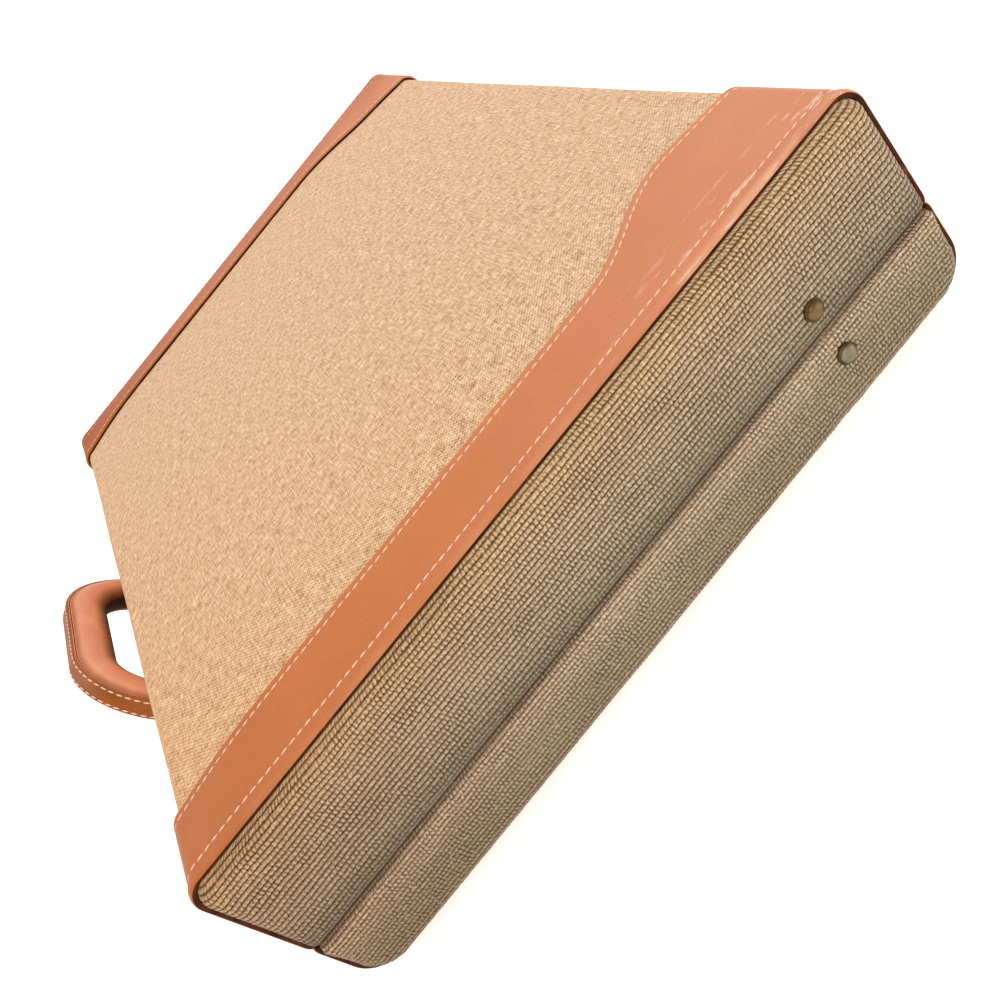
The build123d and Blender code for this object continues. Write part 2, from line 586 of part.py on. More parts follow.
pin_half = EYE_WIDTH / 2 + EYE_GAP + BRACKET_EAR
bracket_bite = BRACKET_PLATE + CANVAS + TACK_BITE
bracket_tacks, bracket_holes, pins = [], [], []
for side, x in (("right", handle_x), ("left", -handle_x)):
    parts["handle_bracket_" + side] = Pos(x, 0, 0) * bracket()
    pins.append(rod((x - pin_half, pivot.Y, pivot.Z), (1, 0, 0), HANDLE_PIN, 2 * pin_half))
    for offset in (BRACKET_RIVET_MARGIN - BRACKET_WIDTH / 2, BRACKET_WIDTH / 2 - BRACKET_RIVET_MARGIN):
        place = (x + offset, -wall_y - BRACKET_PLATE, plate_z)
        bracket_tacks.append(tack(place, (0, -1, 0), bracket_bite))
        bracket_holes.append(tack_hole(place, (0, -1, 0), bracket_bite))
    parts["handle_bracket_" + side] -= bracket_holes
parts["handle_pins"] = Compound(pins)
parts["handle_rivets"] = Compound(bracket_tacks)
for name in ("base_shell", "base_canvas"):
    parts[name] -= bracket_holes


def glide(x, z):
    """Domed foot with a small flat on top."""
    body = rod((x, band_y, z), (0, 1, 0), GLIDE_RADIUS, GLIDE_HEIGHT)
    rim = body.edges().sort_by(Axis.Y)[-1]
    return chamfer(rim, GLIDE_HEIGHT - GLIDE_EDGE, GLIDE_RADIUS - GLIDE_FLAT)


for name, z in (("base", SPLIT_HEIGHT + DEEP_GLIDE_RISE), ("lid", SPLIT_HEIGHT - SHALLOW_GLIDE_DROP)):
    parts["glides_" + name] = Compound([glide(glide_x, z), glide(-glide_x, z)])

for name, shape in parts.items():
    export_step(shape, "parts/" + name + ".step")
print(len(parts), "nodes")
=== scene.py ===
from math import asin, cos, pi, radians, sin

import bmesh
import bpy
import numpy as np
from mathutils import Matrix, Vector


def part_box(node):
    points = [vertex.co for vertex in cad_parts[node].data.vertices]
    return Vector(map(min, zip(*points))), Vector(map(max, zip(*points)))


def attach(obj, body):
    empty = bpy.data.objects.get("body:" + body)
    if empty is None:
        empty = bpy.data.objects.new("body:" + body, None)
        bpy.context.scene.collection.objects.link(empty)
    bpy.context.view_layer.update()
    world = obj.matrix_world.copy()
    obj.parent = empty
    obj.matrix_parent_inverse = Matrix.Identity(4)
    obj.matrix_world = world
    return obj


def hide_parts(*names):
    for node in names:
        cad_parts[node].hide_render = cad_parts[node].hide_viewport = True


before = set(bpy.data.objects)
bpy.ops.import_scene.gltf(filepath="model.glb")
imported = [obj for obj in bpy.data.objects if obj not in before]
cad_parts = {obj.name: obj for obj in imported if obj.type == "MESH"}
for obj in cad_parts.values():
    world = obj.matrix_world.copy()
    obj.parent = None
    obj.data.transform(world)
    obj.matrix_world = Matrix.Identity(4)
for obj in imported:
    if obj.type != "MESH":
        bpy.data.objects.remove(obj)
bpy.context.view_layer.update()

# %% [markdown]
# A hard-sided briefcase lies on its shallow half. The CAD model already gives every piece its size and
# its place. This script dresses it: woven canvas over the large faces, leather bands at both ends,
# ribbed fabric on the padded end panels, stitching, a stitched handle, metal fittings and a lining.
# All lengths below are written in millimetres, as a case maker would write them, and one factor turns
# them into Blender's metres.

MM = 0.001

# %% [markdown]
# ## The camera
# The photograph looks down on one corner of the case from close by, so its lines run together strongly.
# A camera could be placed by eye, but then no edge would fall where it should. This one was solved from
# the edges of the case: its place, its three directions and its lens belong together, and none of them
# is changed alone.

# %% Camera
SPLIT = 38.0                     # height of the parting line of the two halves
EYE = (482.91, 1.98, SPLIT + 226.39)
LOOK = Vector((-0.83519, -0.01824, -0.54965)).normalized()
CAMERA_UP = Vector((-0.35896, 0.77527, 0.51971))
LENS = 36.70

camera_data = bpy.data.cameras.new("camera")
camera_data.lens = LENS
camera_data.sensor_width = 36.0
camera_data.sensor_fit = "HORIZONTAL"
camera_data.clip_start = 0.01
camera = bpy.data.objects.new("camera", camera_data)
bpy.context.collection.objects.link(camera)
side_axis = LOOK.cross(CAMERA_UP).normalized()
turned = Matrix((side_axis, side_axis.cross(LOOK), -LOOK)).transposed().to_4x4()
camera.matrix_world = Matrix.Translation(Vector(EYE) * MM) @ turned
bpy.context.scene.camera = camera
print("camera", [round(value, 4) for value in camera.location])

# %% [markdown]
# ## Floor and light
# A product photograph of this kind is made in a light tent: a broad soft light from above and one side,
# a weaker one opposite, and a pale floor that returns light into the shadows. Three area lights and a
# pale sky give the same. A small pale card stands at the far end of the floor, where the camera would
# look past it. The Standard view keeps the colours as they are written in the materials.

# %% Floor, sky and lights
FLOOR_SIZE = 60.0
CARD_PLACE, CARD_SIZE, CARD_FLATTENED = (-29.9, 1.0, 0.4), 12.0, 0.15
SKY_COLOUR, SKY_STRENGTH = (1.0, 0.99, 0.975, 1), 0.60
LIGHT_AIM = Vector((0, 0, 0.05))

bpy.context.scene.view_settings.view_transform = "Standard"
bpy.ops.object.select_all(action="DESELECT")
bpy.ops.mesh.primitive_plane_add(size=FLOOR_SIZE, location=(0, 0, 0))
floor = bpy.context.object
floor.name = "floor"
bpy.ops.mesh.primitive_plane_add(size=CARD_SIZE, location=CARD_PLACE, rotation=(0, pi / 2, 0))
backdrop = bpy.context.object
backdrop.name = "backdrop"
bpy.ops.transform.resize(value=(1, 1, CARD_FLATTENED))
bpy.ops.object.transform_apply(location=True, rotation=True, scale=True)

world = bpy.data.worlds.new("light_tent")
world.use_nodes = True
world.node_tree.nodes["Background"].inputs["Color"].default_value = SKY_COLOUR
world.node_tree.nodes["Background"].inputs["Strength"].default_value = SKY_STRENGTH
bpy.context.scene.world = world

LIGHTS = {
    # name: (place in m, size in m, power in W, colour)
    "key": ((-0.35, 0.80, 1.35), 1.1, 14.0, (1.0, 0.985, 0.97)),
    "fill": ((1.45, -0.20, 0.75), 1.0, 8.0, (1.0, 1.0, 1.0)),
    "front": ((-0.5, -1.1, 1.0), 1.0, 6.0, (1.0, 0.96, 0.92)),
}
for name, (place, size, power, colour) in LIGHTS.items():
    light = bpy.data.lights.new(name, "AREA")
    light.size, light.energy, light.color = size, power, colour
    lamp = bpy.data.objects.new(name, light)
    bpy.context.collection.objects.link(lamp)
    lamp.location = place
    lamp.rotation_euler = (LIGHT_AIM - Vector(place)).to_track_quat("-Z", "Y").to_euler()
print(len(LIGHTS), "lights")

# %% [markdown]
# ## How a material is written here
# Every finish starts from the real one. Its colours are written as they would be picked on a screen, in
# sRGB hex, and one function turns them to the linear values that Blender counts in. One more function
# adds a node with its settings and links, so that a finish reads as a short list of steps.

# %% Colour and node helpers
def linear(code):
    """Linear RGBA of an sRGB hex colour."""
    parts = [int(code[i:i + 2], 16) / 255 for i in (0, 2, 4)]
    return tuple(c / 12.92 if c <= 0.04045 else ((c + 0.055) / 1.055) ** 2.4 for c in parts) + (1.0,)


def add(tree, kind, values=None, **settings):
    """Adds a node with its settings. A value that is another node's output is linked."""
    made = tree.nodes.new("ShaderNode" + kind)
    for key, value in settings.items():
        setattr(made, key, value)
    for key, value in (values or {}).items():
        if isinstance(value, bpy.types.NodeSocket):
            tree.links.new(value, made.inputs[key])
        else:
            made.inputs[key].default_value = value
    return made


def ramp(tree, factor, stops):
    """Colour ramp through (place, hex) stops."""
    made = add(tree, "ValToRGB", {"Fac": factor})
    bar = made.color_ramp.elements
    while len(bar) < len(stops):
        bar.new(1.0)
    for element, (place, code) in zip(bar, stops):
        element.position, element.color = place, linear(code)
    return made.outputs["Color"]


def mix(tree, factor, first, second, blend="MIX"):
    """Mix of two colours."""
    made = add(tree, "Mix", {0: factor, 6: first, 7: second}, data_type="RGBA", blend_type=blend)
    return made.outputs[2]


def sums(tree, kind, first, second=0.0):
    """One step of arithmetic."""
    return add(tree, "Math", {0: first, 1: second}, operation=kind).outputs[0]


def times(tree, first, second):
    """Product of two values."""
    return sums(tree, "MULTIPLY", first, second)


def plus(tree, first, second):
    """Sum of two values."""
    return sums(tree, "ADD", first, second)


def where(tree, kind="Object"):
    """Places on the piece, in its own coordinates or in its UV map."""
    return add(tree, "TexCoord").outputs[kind]


def axes_of(tree, vector):
    """X, Y and Z of a vector."""
    return add(tree, "SeparateXYZ", {0: vector}).outputs


def climb(tree, value, start, stop, low=0.0, high=1.0):
    """Goes from low to high while the value goes from start to stop, and is level beyond."""
    return add(tree, "MapRange", {0: value, 1: start, 2: stop, 3: low, 4: high}).outputs[0]


def dress(tree, shader, colour, height=None, strength=0.0, depth=0.0):
    """Gives the shader its colour, and a relief of some depth in millimetres where there is one."""
    tree.links.new(colour, shader.inputs["Base Color"])
    if height is not None:
        bump = add(tree, "Bump", {"Height": height, "Strength": strength, "Distance": depth * MM})
        tree.links.new(bump.outputs[0], shader.inputs["Normal"])


def finish(name, **sockets):
    """A material with the constant sockets of its shader set."""
    material = bpy.data.materials.new(name)
    material.use_nodes = True
    tree = material.node_tree
    shader = tree.nodes["Principled BSDF"]
    for key, value in sockets.items():
        shader.inputs[key.replace("_", " ")].default_value = value
    return material, tree, shader


def grain(tree, coordinates, size, stretch=(1, 1, 1), detail=2.0, roughness=0.5):
    """Noise whose grains are of a given size in millimetres, longer where stretch is larger."""
    scale = tuple(1 / (size * MM * part) for part in stretch)
    placed = add(tree, "Mapping", {"Vector": coordinates, "Scale": scale}, vector_type="POINT")
    noise = add(tree, "TexNoise", {"Vector": placed.outputs[0], "Scale": 1.0, "Detail": detail,
                                   "Roughness": roughness})
    return noise.outputs["Fac"]


print("linear of E3BB8D", [round(c, 3) for c in linear("E3BB8D")])

# %% [markdown]
# ## Linen canvas
# The large faces are covered in a plain-woven linen of uneven yarn. Such yarn has slubs, thick places
# that show as pale flecks along the warp and the weft, and here and there a dark speck of stalk. The
# weave is drawn from two crossed sine waves, one per thread direction; the slubs are two noises, each
# stretched along its own thread. Real linen of this weight has threads near 0.7 mm. They are drawn at
# 0.95 mm, because finer ones would drown in the pixels.

# %% Canvas material
THREAD = 0.95
canvas_linen, tree, shader = finish("slub_linen_canvas", Roughness=0.82, Sheen_Weight=0.12,
                                    Sheen_Roughness=0.5, Specular_IOR_Level=0.25)
uv = where(tree, "UV")
slub_along = grain(tree, uv, 0.85, (1, 7, 1), 2.5, 0.65)
slub_across = grain(tree, uv, 0.85, (6, 1, 1), 2.5, 0.65)
axes = axes_of(tree, uv)
wander = times(tree, sums(tree, "SUBTRACT", slub_along, 0.5), 0.9 * MM)
threads = []
for axis in ("X", "Y"):
    moved = plus(tree, axes[axis], wander)
    threads.append(sums(tree, "SINE", times(tree, moved, pi / (THREAD * MM))))
weave = times(tree, threads[0], threads[1])
tone = plus(tree, times(tree, weave, 0.075),
            plus(tree, times(tree, slub_along, 0.55), times(tree, slub_across, 0.45)))
cloth = ramp(tree, tone, [(0.35, "8C6442"), (0.44, "BE926A"), (0.53, "DBB48D"), (0.61, "EDD3B0"),
                          (0.70, "FFF4DE")])
patches = grain(tree, uv, 70.0, (1, 1.6, 1), 2.0)
cloth = mix(tree, times(tree, patches, 0.25), cloth, linear("D4A577"))
# Painted light: a multiply along a diagonal leaves one side of the face pale, with a faint bluish sheen, and
# makes the other side warmer and darker.
diagonal_painted_sheen = add(tree, "Mapping", {"Vector": uv, "Rotation": (0, 0, radians(65))}, vector_type="POINT").outputs[0]
diagonal_painted_sheen = axes_of(tree, diagonal_painted_sheen)["X"]
diagonal_painted_sheen = climb(tree, diagonal_painted_sheen, -450 * MM, 60 * MM)
diagonal_painted_sheen = ramp(tree, diagonal_painted_sheen, [(0.0, "FFFFFF"), (0.45, "FAFCFC"), (0.75, "FCF8F2"), (1.0, "FFEDD6")])
cloth = mix(tree, 1.0, cloth, diagonal_painted_sheen, "MULTIPLY")
speck = grain(tree, uv, 2.2, (1, 1.8, 1), 1.0)
speck = climb(tree, speck, 0.74, 0.80, 0.0, 0.55)
cloth = mix(tree, speck, cloth, linear("7A5230"))
relief = plus(tree, times(tree, weave, 0.3), plus(tree, slub_along, slub_across))
dress(tree, shader, cloth, relief, 0.85, 0.35)
print("canvas threads drawn at", THREAD, "mm")

# %% [markdown]
# ## Cognac leather
# The bands and the handle are vegetable-tanned cowhide, aniline dyed: smooth, a little glossy, with a
# grain too fine to see one by one, and slow clouds of lighter and darker brown. Handling leaves pale
# scuffs. The cut edges are painted dark, which is what draws the thin dark line round each band.

# %% Leather, edge paint and thread materials
leather_cognac, tree, shader = finish("aniline_cowhide_cognac", Roughness=0.50, Specular_IOR_Level=0.24,
                                      Coat_Weight=0.03, Coat_Roughness=0.35)
place = where(tree)
clouds = grain(tree, place, 55.0, (1, 1.4, 1), 3.0, 0.55)
axes = axes_of(tree, place)
# Painted reflection and shade: the leather is painted lighter and pinker towards the hinge end, where a sheen
# shows, and darker and deeper in colour towards the handle end.
sheen_towards_hinge = climb(tree, axes["Y"], -170 * MM, 170 * MM)
hide = ramp(tree, sheen_towards_hinge, [(0.0, "BE6A2A"), (0.35, "C97D48"), (0.70, "CE885E"), (1.0, "D18F68")])
clouds = ramp(tree, clouds, [(0.30, "5E5A56"), (0.50, "808080"), (0.72, "A09A90")])
hide = mix(tree, 0.35, hide, clouds, "OVERLAY")
pores = grain(tree, place, 0.9, (1, 1, 1), 3.0, 0.6)
hide = mix(tree, 0.14, hide, ramp(tree, pores, [(0.35, "8A4A26"), (0.65, "F0B48C")]), "SOFT_LIGHT")
scuff = grain(tree, place, 9.0, (1, 3, 1), 4.0, 0.7)
scuff = climb(tree, scuff, 0.70, 0.80, 0.0, 0.35)
hide = mix(tree, scuff, hide, linear("EBC2A2"))
# A pale line along the raised lip by the outer edge, strongest towards the hinge corner: partly rubbed
# leather, partly a painted highlight where the lip catches the light.
lip = sums(tree, "ABSOLUTE", axes["X"])
lip = climb(tree, lip, 221.2 * MM, 223.4 * MM, 0.0, 1.0)
rubbed_and_highlit = climb(tree, grain(tree, place, 13.0, (1, 2, 1), 3.0, 0.6), 0.42, 0.62)
corner = climb(tree, axes["Y"], 40 * MM, 155 * MM)
near_corner = plus(tree, times(tree, corner, 0.5), 0.12)
hide = mix(tree, times(tree, times(tree, lip, rubbed_and_highlit), near_corner), hide, linear("E8B68E"))
scratch = grain(tree, place, 1.3, (2.5, 12, 1), 3.0, 0.6)
scratch = climb(tree, scratch, 0.60, 0.68)
inner = climb(tree, sums(tree, "ABSOLUTE", axes["X"]), 200 * MM, 219 * MM)
scratch = times(tree, times(tree, scratch, corner), times(tree, inner, 0.7))
hide = mix(tree, scratch, hide, linear("F6DCC6"))
# Painted shade: the band at the far end of the case is painted darker.
far_end_shade = climb(tree, axes["X"], -224 * MM, -180 * MM, 0.55, 0.0)
hide = mix(tree, far_end_shade, hide, linear("C8906E"), "MULTIPLY")
dress(tree, shader, hide, pores, 0.18, 0.12)

edge_paint, tree, shader = finish("dark_edge_paint", Roughness=0.75, Specular_IOR_Level=0.08)
place = where(tree)
wear_and_painted_light = grain(tree, place, 6.0, (1, 1, 1), 3.0, 0.6)
dress(tree, shader, ramp(tree, wear_and_painted_light, [(0.35, "32160A"), (0.60, "4E2610"), (0.78, "74401E")]))

thread_cream, tree, shader = finish("waxed_linen_thread", Roughness=0.6, Sheen_Weight=0.1)
place = where(tree)
ply = grain(tree, place, 0.6, (1, 1, 1), 2.0)
dress(tree, shader, ramp(tree, ply, [(0.3, "D9AE8C"), (0.55, "EBCBAE"), (0.8, "FAE6D2")]))
print("leather, edge paint, thread")

# %% [markdown]
# ## Ribbed cord fabric
# The padded ends are covered in a coarse ribbed cloth: cords of twisted yarn lie side by side along the
# case's depth, each like a string of small beads. The ribs and the beads are real relief in the mesh, and
# the material colours them with painted light and shade: dark in the valleys, pale with bright glints on the
# crests. The piece's own UV map counts millimetres over the surface, so the colours stay on the ribs round
# every edge.

# %% Ribbed fabric material
RIB_PITCH = 2.15
BEAD_PITCH = 1.6
ribbed_cord, tree, shader = finish("ribbed_cord_fabric", Roughness=0.85, Sheen_Weight=0.1,
                                   Specular_IOR_Level=0.2)
uv = where(tree, "UV")
axes = axes_of(tree, uv)
crest = sums(tree, "ABSOLUTE", sums(tree, "COSINE", times(tree, axes["Y"], pi / (RIB_PITCH * MM))))
crest = sums(tree, "POWER", crest, 0.6)
fibre = grain(tree, uv, 0.42, (1.6, 1, 1), 3.0, 0.7)
level = add(tree, "Attribute", attribute_name="bead").outputs["Fac"]
# Painted light and shade: crests and bead tops are painted pale, valleys and the gaps between beads dark;
# glint adds painted bright specks on the crests.
lit_crests_shaded_valleys = times(tree, crest, plus(tree, times(tree, level, 0.48), 0.19))
tone = plus(tree, lit_crests_shaded_valleys, sums(tree, "SUBTRACT", times(tree, fibre, 0.95), 0.13))
glint = climb(tree, grain(tree, uv, 1.3, (1.4, 1, 1), 2.0), 0.56, 0.68, 0.0, 0.26)
tone = plus(tree, tone, times(tree, glint, crest))
wear_and_painted_light = grain(tree, uv, 16.0, (3, 1, 1), 2.0)
tone = plus(tree, tone, times(tree, wear_and_painted_light, 0.16))
cord = ramp(tree, tone, [(0.41, "281D14"), (0.57, "715F4E"), (0.72, "B3A18F"), (0.86, "E6D9C8"),
                         (0.97, "FFFAF0")])
# Multiplied over the cloth: its beige, with painted light and shade by height: darker towards the bottom of
# the shallow half, light along its upper edge, a dark band of painted shade just above the parting line, and
# a warmer top near the leather, a painted reflection of its colour.
height = axes_of(tree, where(tree))["Z"]
zone = climb(tree, height, 5 * MM, 90 * MM)
height_tint_and_shade = ramp(tree, zone, [(0.0, "A69C84"), (0.22, "B5AB95"), (0.37, "D4C4AE"), (0.387, "C4B4A0"),
                         (0.392, "867E6C"), (0.55, "B9AC98"), (0.80, "C8B69C"), (0.93, "D0B894"),
                         (1.0, "D2B68E")])
cord = mix(tree, 1.0, cord, height_tint_and_shade, "MULTIPLY")
# The cloth is made darker and warmer towards the handle side.
place = axes_of(tree, where(tree))["Y"]
warmer_towards_handle = climb(tree, place, -150 * MM, -10 * MM, 0.34, 0.0)
cord = mix(tree, warmer_towards_handle, cord, linear("C08A54"), "MULTIPLY")
dress(tree, shader, cord, fibre, 0.6, 0.2)
print("ribs", RIB_PITCH, "mm, beads", BEAD_PITCH, "mm")

# %% [markdown]
# ## Metals, lining, shell, padding and floor
# The fittings are solid brass and nickel-plated steel that have lost their shine: metals whose
# roughness is uneven, with darker tarnish in slow clouds. The lining is a brown twill, fine enough that
# only its diagonal shows. The shells are pressed fibreboard stained brown, and the padding is felt.

# %% The other materials
def metal(name, dark, light, rough):
    """Tarnished metal between two colours."""
    material, tree, shader = finish(name, Metallic=1.0)
    place = where(tree)
    tarnish = grain(tree, place, 5.0, (1, 1, 1), 4.0, 0.65)
    fine = grain(tree, place, 0.5, (1, 1, 1), 2.0)
    dress(tree, shader, ramp(tree, tarnish, [(0.3, dark), (0.7, light)]))
    gloss = climb(tree, fine, 0.3, 0.7, rough, rough + 0.14)
    tree.links.new(gloss, shader.inputs["Roughness"])
    return material


brass = metal("tarnished_brass", "6E5430", "B08F55", 0.34)
nickel = metal("dull_nickel_plate", "6A6660", "A9A499", 0.32)

twill_lining, tree, shader = finish("brown_twill_lining", Roughness=0.75, Sheen_Weight=0.25)
place = where(tree)
axes = axes_of(tree, place)
slant = plus(tree, plus(tree, axes["X"], axes["Y"]), axes["Z"])
TWILL = 1.3
line = sums(tree, "SINE", times(tree, slant, 2 * pi / (TWILL * MM)))
yarn = grain(tree, place, 0.8, (1, 1, 1), 2.0)
tone = plus(tree, times(tree, line, 0.12), yarn)
dress(tree, shader, ramp(tree, tone, [(0.3, "4A2F20"), (0.55, "6A4630"), (0.8, "8A6144")]), tone, 0.3, 0.15)

fibreboard, tree, shader = finish("stained_fibreboard", Roughness=0.6)
place = where(tree)
layers = grain(tree, place, 1.2, (14, 14, 1), 3.0)
dress(tree, shader, ramp(tree, layers, [(0.3, "3E2819"), (0.7, "6B4A30")]))

felt, tree, shader = finish("wool_felt_padding", Roughness=0.95, Sheen_Weight=0.3)
place = where(tree)
tufts = grain(tree, place, 1.5, (1, 1, 1), 4.0, 0.7)
dress(tree, shader, ramp(tree, tufts, [(0.3, "B7AC93"), (0.7, "DCD3BE")]))

pale_floor, tree, shader = finish("pale_paper_sweep", Roughness=0.9, Specular_IOR_Level=0.1)
place = where(tree)
pulp = grain(tree, place, 3.0, (1, 1, 1), 2.0)
dress(tree, shader, ramp(tree, pulp, [(0.3, "F8F8F7"), (0.7, "FCFCFC")]))
shader.inputs["Emission Color"].default_value = (1.0, 1.0, 1.0, 1.0)
shader.inputs["Emission Strength"].default_value = 0.55
for stage in (floor, backdrop):
    stage.data.materials.append(pale_floor)
print("materials", len(bpy.data.materials))

# %% [markdown]
# ## The section of a half
# Canvas and leather are sheets that wrap round a half: from its rim up one wall, round the corner, over
# the face and down the other wall. Both follow one section line, each at its own distance from the
# shell. So the line is worked out once, as stations with a place, an outward direction and a distance
# from the rim, and every sheet is laid along it. The faces are not flat: padding under the canvas crowns
# them by about 6 mm, and the crown falls away towards all four edges.

# %% Stations round a half, and its crown
SHELL_END = 224.1                # end of the shells and of the leather
SHELL_Y = 159.0
CANVAS, LEATHER = 1.0, 2.4
RIM_RADIUS = 3.0
RIM_GAP = 0.2                    # parting line to each rim
CROWN = 6.4
CROWN_BLEND = 0.7                # how softly the two slopes of the crown meet
CROWN_FLAT_Y = 50.0
FOOT_MARGIN = 0.5


class Half:
    """One half of the case: its body, direction, outer face, rim, edge radius and crown."""

    def __init__(self, name, body, up, face, radius, flat_x, rim_roll, close):
        self.name, self.body, self.up, self.face, self.radius = name, body, up, face, radius
        self.flat_x, self.rim_roll, self.close = flat_x, rim_roll, close
        self.rim = SPLIT + up * RIM_GAP


DEEP = Half("deep", "base", 1, 89.2, 6.0, 128.0, 8.0, 1.0)
SHALLOW = Half("shallow", "lid", -1, 7.4, 11.0, 70.0, 1.8, 0.89)
HALVES = (DEEP, SHALLOW)
SIDES = (("right", 1), ("left", -1))


def summed(steps):
    """Distance from the start at each point of a line, from its steps."""
    return np.concatenate(([0], np.cumsum(steps)))


def stations(half, grow, spacing):
    """Rows of y, z, outward y, outward z and distance, from the handle rim round to the hinge rim."""
    rim_r, face_r = RIM_RADIUS + grow, half.radius + grow
    rim_y, rim_z = SHELL_Y - RIM_RADIUS, half.rim + half.up * RIM_RADIUS
    face_y, face_z = SHELL_Y - half.radius, half.face - half.up * half.radius
    side = []
    first = -asin(RIM_RADIUS / rim_r)
    for a in np.linspace(first, 0, max(4, round(-first * rim_r / spacing))):
        side.append((rim_y + rim_r * cos(a), rim_z + half.up * rim_r * sin(a), cos(a), half.up * sin(a)))
    steps = max(2, round(abs(face_z - rim_z) / spacing))
    for part in np.linspace(0, 1, steps + 1)[1:]:
        side.append((SHELL_Y + grow, rim_z + (face_z - rim_z) * part, 1.0, 0.0))
    for a in np.linspace(0, pi / 2, max(6, round(face_r * pi / 2 / spacing)) + 1)[1:]:
        side.append((face_y + face_r * cos(a), face_z + half.up * face_r * sin(a), cos(a), half.up * sin(a)))
    steps = round(face_y / spacing)
    for part in np.linspace(1, 0, steps + 1)[1:]:
        side.append((face_y * part, half.face + half.up * grow, 0.0, half.up))
    hinge = np.array(side)[::-1]
    handle = np.array(side)[:-1] * (-1, 1, -1, 1)
    line = np.vstack((handle, hinge))
    run = np.hypot(*np.diff(line[:, :2], axis=0).T)
    return np.column_stack((line, summed(run)))


def crown(half, x, y):
    """Height of the padding over the shell's face."""
    foot_y = SHELL_Y - half.radius - FOOT_MARGIN
    slopes = []
    for place, flat, foot in ((abs(x), half.flat_x, SHELL_END), (abs(y), CROWN_FLAT_Y, foot_y)):
        part = np.clip((place - flat) / (foot - flat), 0, 1)
        slopes.append(CROWN * (1 - part ** 2))
    soft = -CROWN_BLEND * np.log(np.exp(-slopes[0] / CROWN_BLEND) + np.exp(-slopes[1] / CROWN_BLEND))
    return np.where(abs(y) < foot_y, np.maximum(soft, 0), 0)


def over(half, line, x, drop):
    """Points on the crowned section, sunk by drop under its surface. All arrays are rows by columns."""
    y, z, out_y, out_z = (line[:, i:i + 1] + 0 * x for i in range(4))
    return np.stack((x, y - out_y * drop, z + half.up * crown(half, x, y) - out_z * drop), axis=-1)


print("deep section", round(stations(DEEP, CANVAS, 4.0)[-1, 4], 1), "mm round")

# %% [markdown]
# ## From rows of points to a closed mesh
# A sheet with thickness is a flat tube: its rows run round its outer face, over one edge, back along
# its inner face and over the other edge. One helper joins such rows into quads, closes both ends and
# turns the faces outwards. It keeps the distance over the cloth as a UV map in metres, so that a weave
# has its real size everywhere.

# %% Tube of rows
def lay_cloth(mesh, uv):
    """UV map in metres from the distances over the cloth, in millimetres, at each point."""
    corner = np.empty(len(mesh.loops), dtype=np.int32)
    mesh.loops.foreach_get("vertex_index", corner)
    mesh.uv_layers.new(name="cloth").data.foreach_set("uv", (uv.reshape(-1, 2)[corner] * MM).ravel())


def skin(name, points, uv, body, materials):
    """Closed mesh from rows of points in millimetres, each row a closed ring, capped at both ends."""
    rows, columns = points.shape[:2]
    index = np.arange(rows * columns).reshape(rows, columns)
    right = np.roll(index, -1, axis=1)
    quads = np.stack((index[:-1], right[:-1], right[1:], index[1:]), axis=-1).reshape(-1, 4)
    faces = [tuple(q) for q in quads.tolist()] + [tuple(index[0].tolist()), tuple(index[-1, ::-1].tolist())]
    mesh = bpy.data.meshes.new(name)
    mesh.from_pydata((points.reshape(-1, 3) * MM).tolist(), [], faces)
    lay_cloth(mesh, uv)
    return settle(name, mesh, body, materials)


def settle(name, mesh, body, materials, smooth=True):
    """Turns a mesh outwards and makes it a piece that rides on a body."""
    work = bmesh.new()
    work.from_mesh(mesh)
    bmesh.ops.recalc_face_normals(work, faces=work.faces)
    work.to_mesh(mesh)
    work.free()
    if smooth:
        mesh.polygons.foreach_set("use_smooth", [True] * len(mesh.polygons))
    for material in materials:
        mesh.materials.append(material)
    piece = bpy.data.objects.new(name, mesh)
    bpy.context.collection.objects.link(piece)
    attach(piece, body)
    return piece


def taken(thing):
    """Points and faces of a helper object, which is removed."""
    points = np.array([vertex.co[:] for vertex in thing.data.vertices])
    faces = [tuple(face.vertices) for face in thing.data.polygons]
    bpy.data.objects.remove(thing, do_unlink=True)
    return points, faces


# %% [markdown]
# ## The canvas of each half
# One sheet of canvas is glued over the padding and the shell of each half, and runs on under the
# leather. The outer face of the tube is the crowned section, and the inner face lies one millimetre
# deeper. A very slow waviness keeps the wide face from looking machined.

# %% Canvas sheets
CANVAS_COLUMNS, CANVAS_SPACING = 120, 3.5
CANVAS_SUNK = 0.12               # under the face of the CAD sheet, so that the waves stay inside it
WAVE, WAVE_ALONG_CASE, WAVE_ROUND, WAVE_SHIFT = 0.12, 23.0, 31.0, 0.7
for half in HALVES:
    line = stations(half, CANVAS, CANVAS_SPACING)
    across = np.linspace(-SHELL_END, SHELL_END, CANVAS_COLUMNS)
    x = np.concatenate((across, across[::-1]))[None, :] + np.zeros((len(line), 1))
    wave = WAVE * np.sin(x / WAVE_ALONG_CASE + WAVE_SHIFT) * np.sin(line[:, 4:5] / WAVE_ROUND)
    inner = np.concatenate((np.zeros(CANVAS_COLUMNS), np.full(CANVAS_COLUMNS, CANVAS)))[None, :]
    points = over(half, line, x, inner + CANVAS_SUNK + wave * (inner == 0))
    uv = np.stack((x, line[:, 4:5] + 0 * x), axis=-1)
    piece = skin(half.name + "_canvas", points, uv, half.body, [canvas_linen])
    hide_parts(half.body + "_canvas")

# %% [markdown]
# ## Leather bands
# A band of leather wraps round each end of each half. It is 36 mm wide over most of the face, and
# swells in an S-curve to 57 mm towards the hinges. A saddler first pares the edges round, then sews a
# row of stitches near each edge, and the thread pulls the leather down into a shallow groove. So the
# section of a band has a rounded edge, a groove, a flat back, a second groove and a second rounded
# edge, and the groove is a little deeper at each stitch.

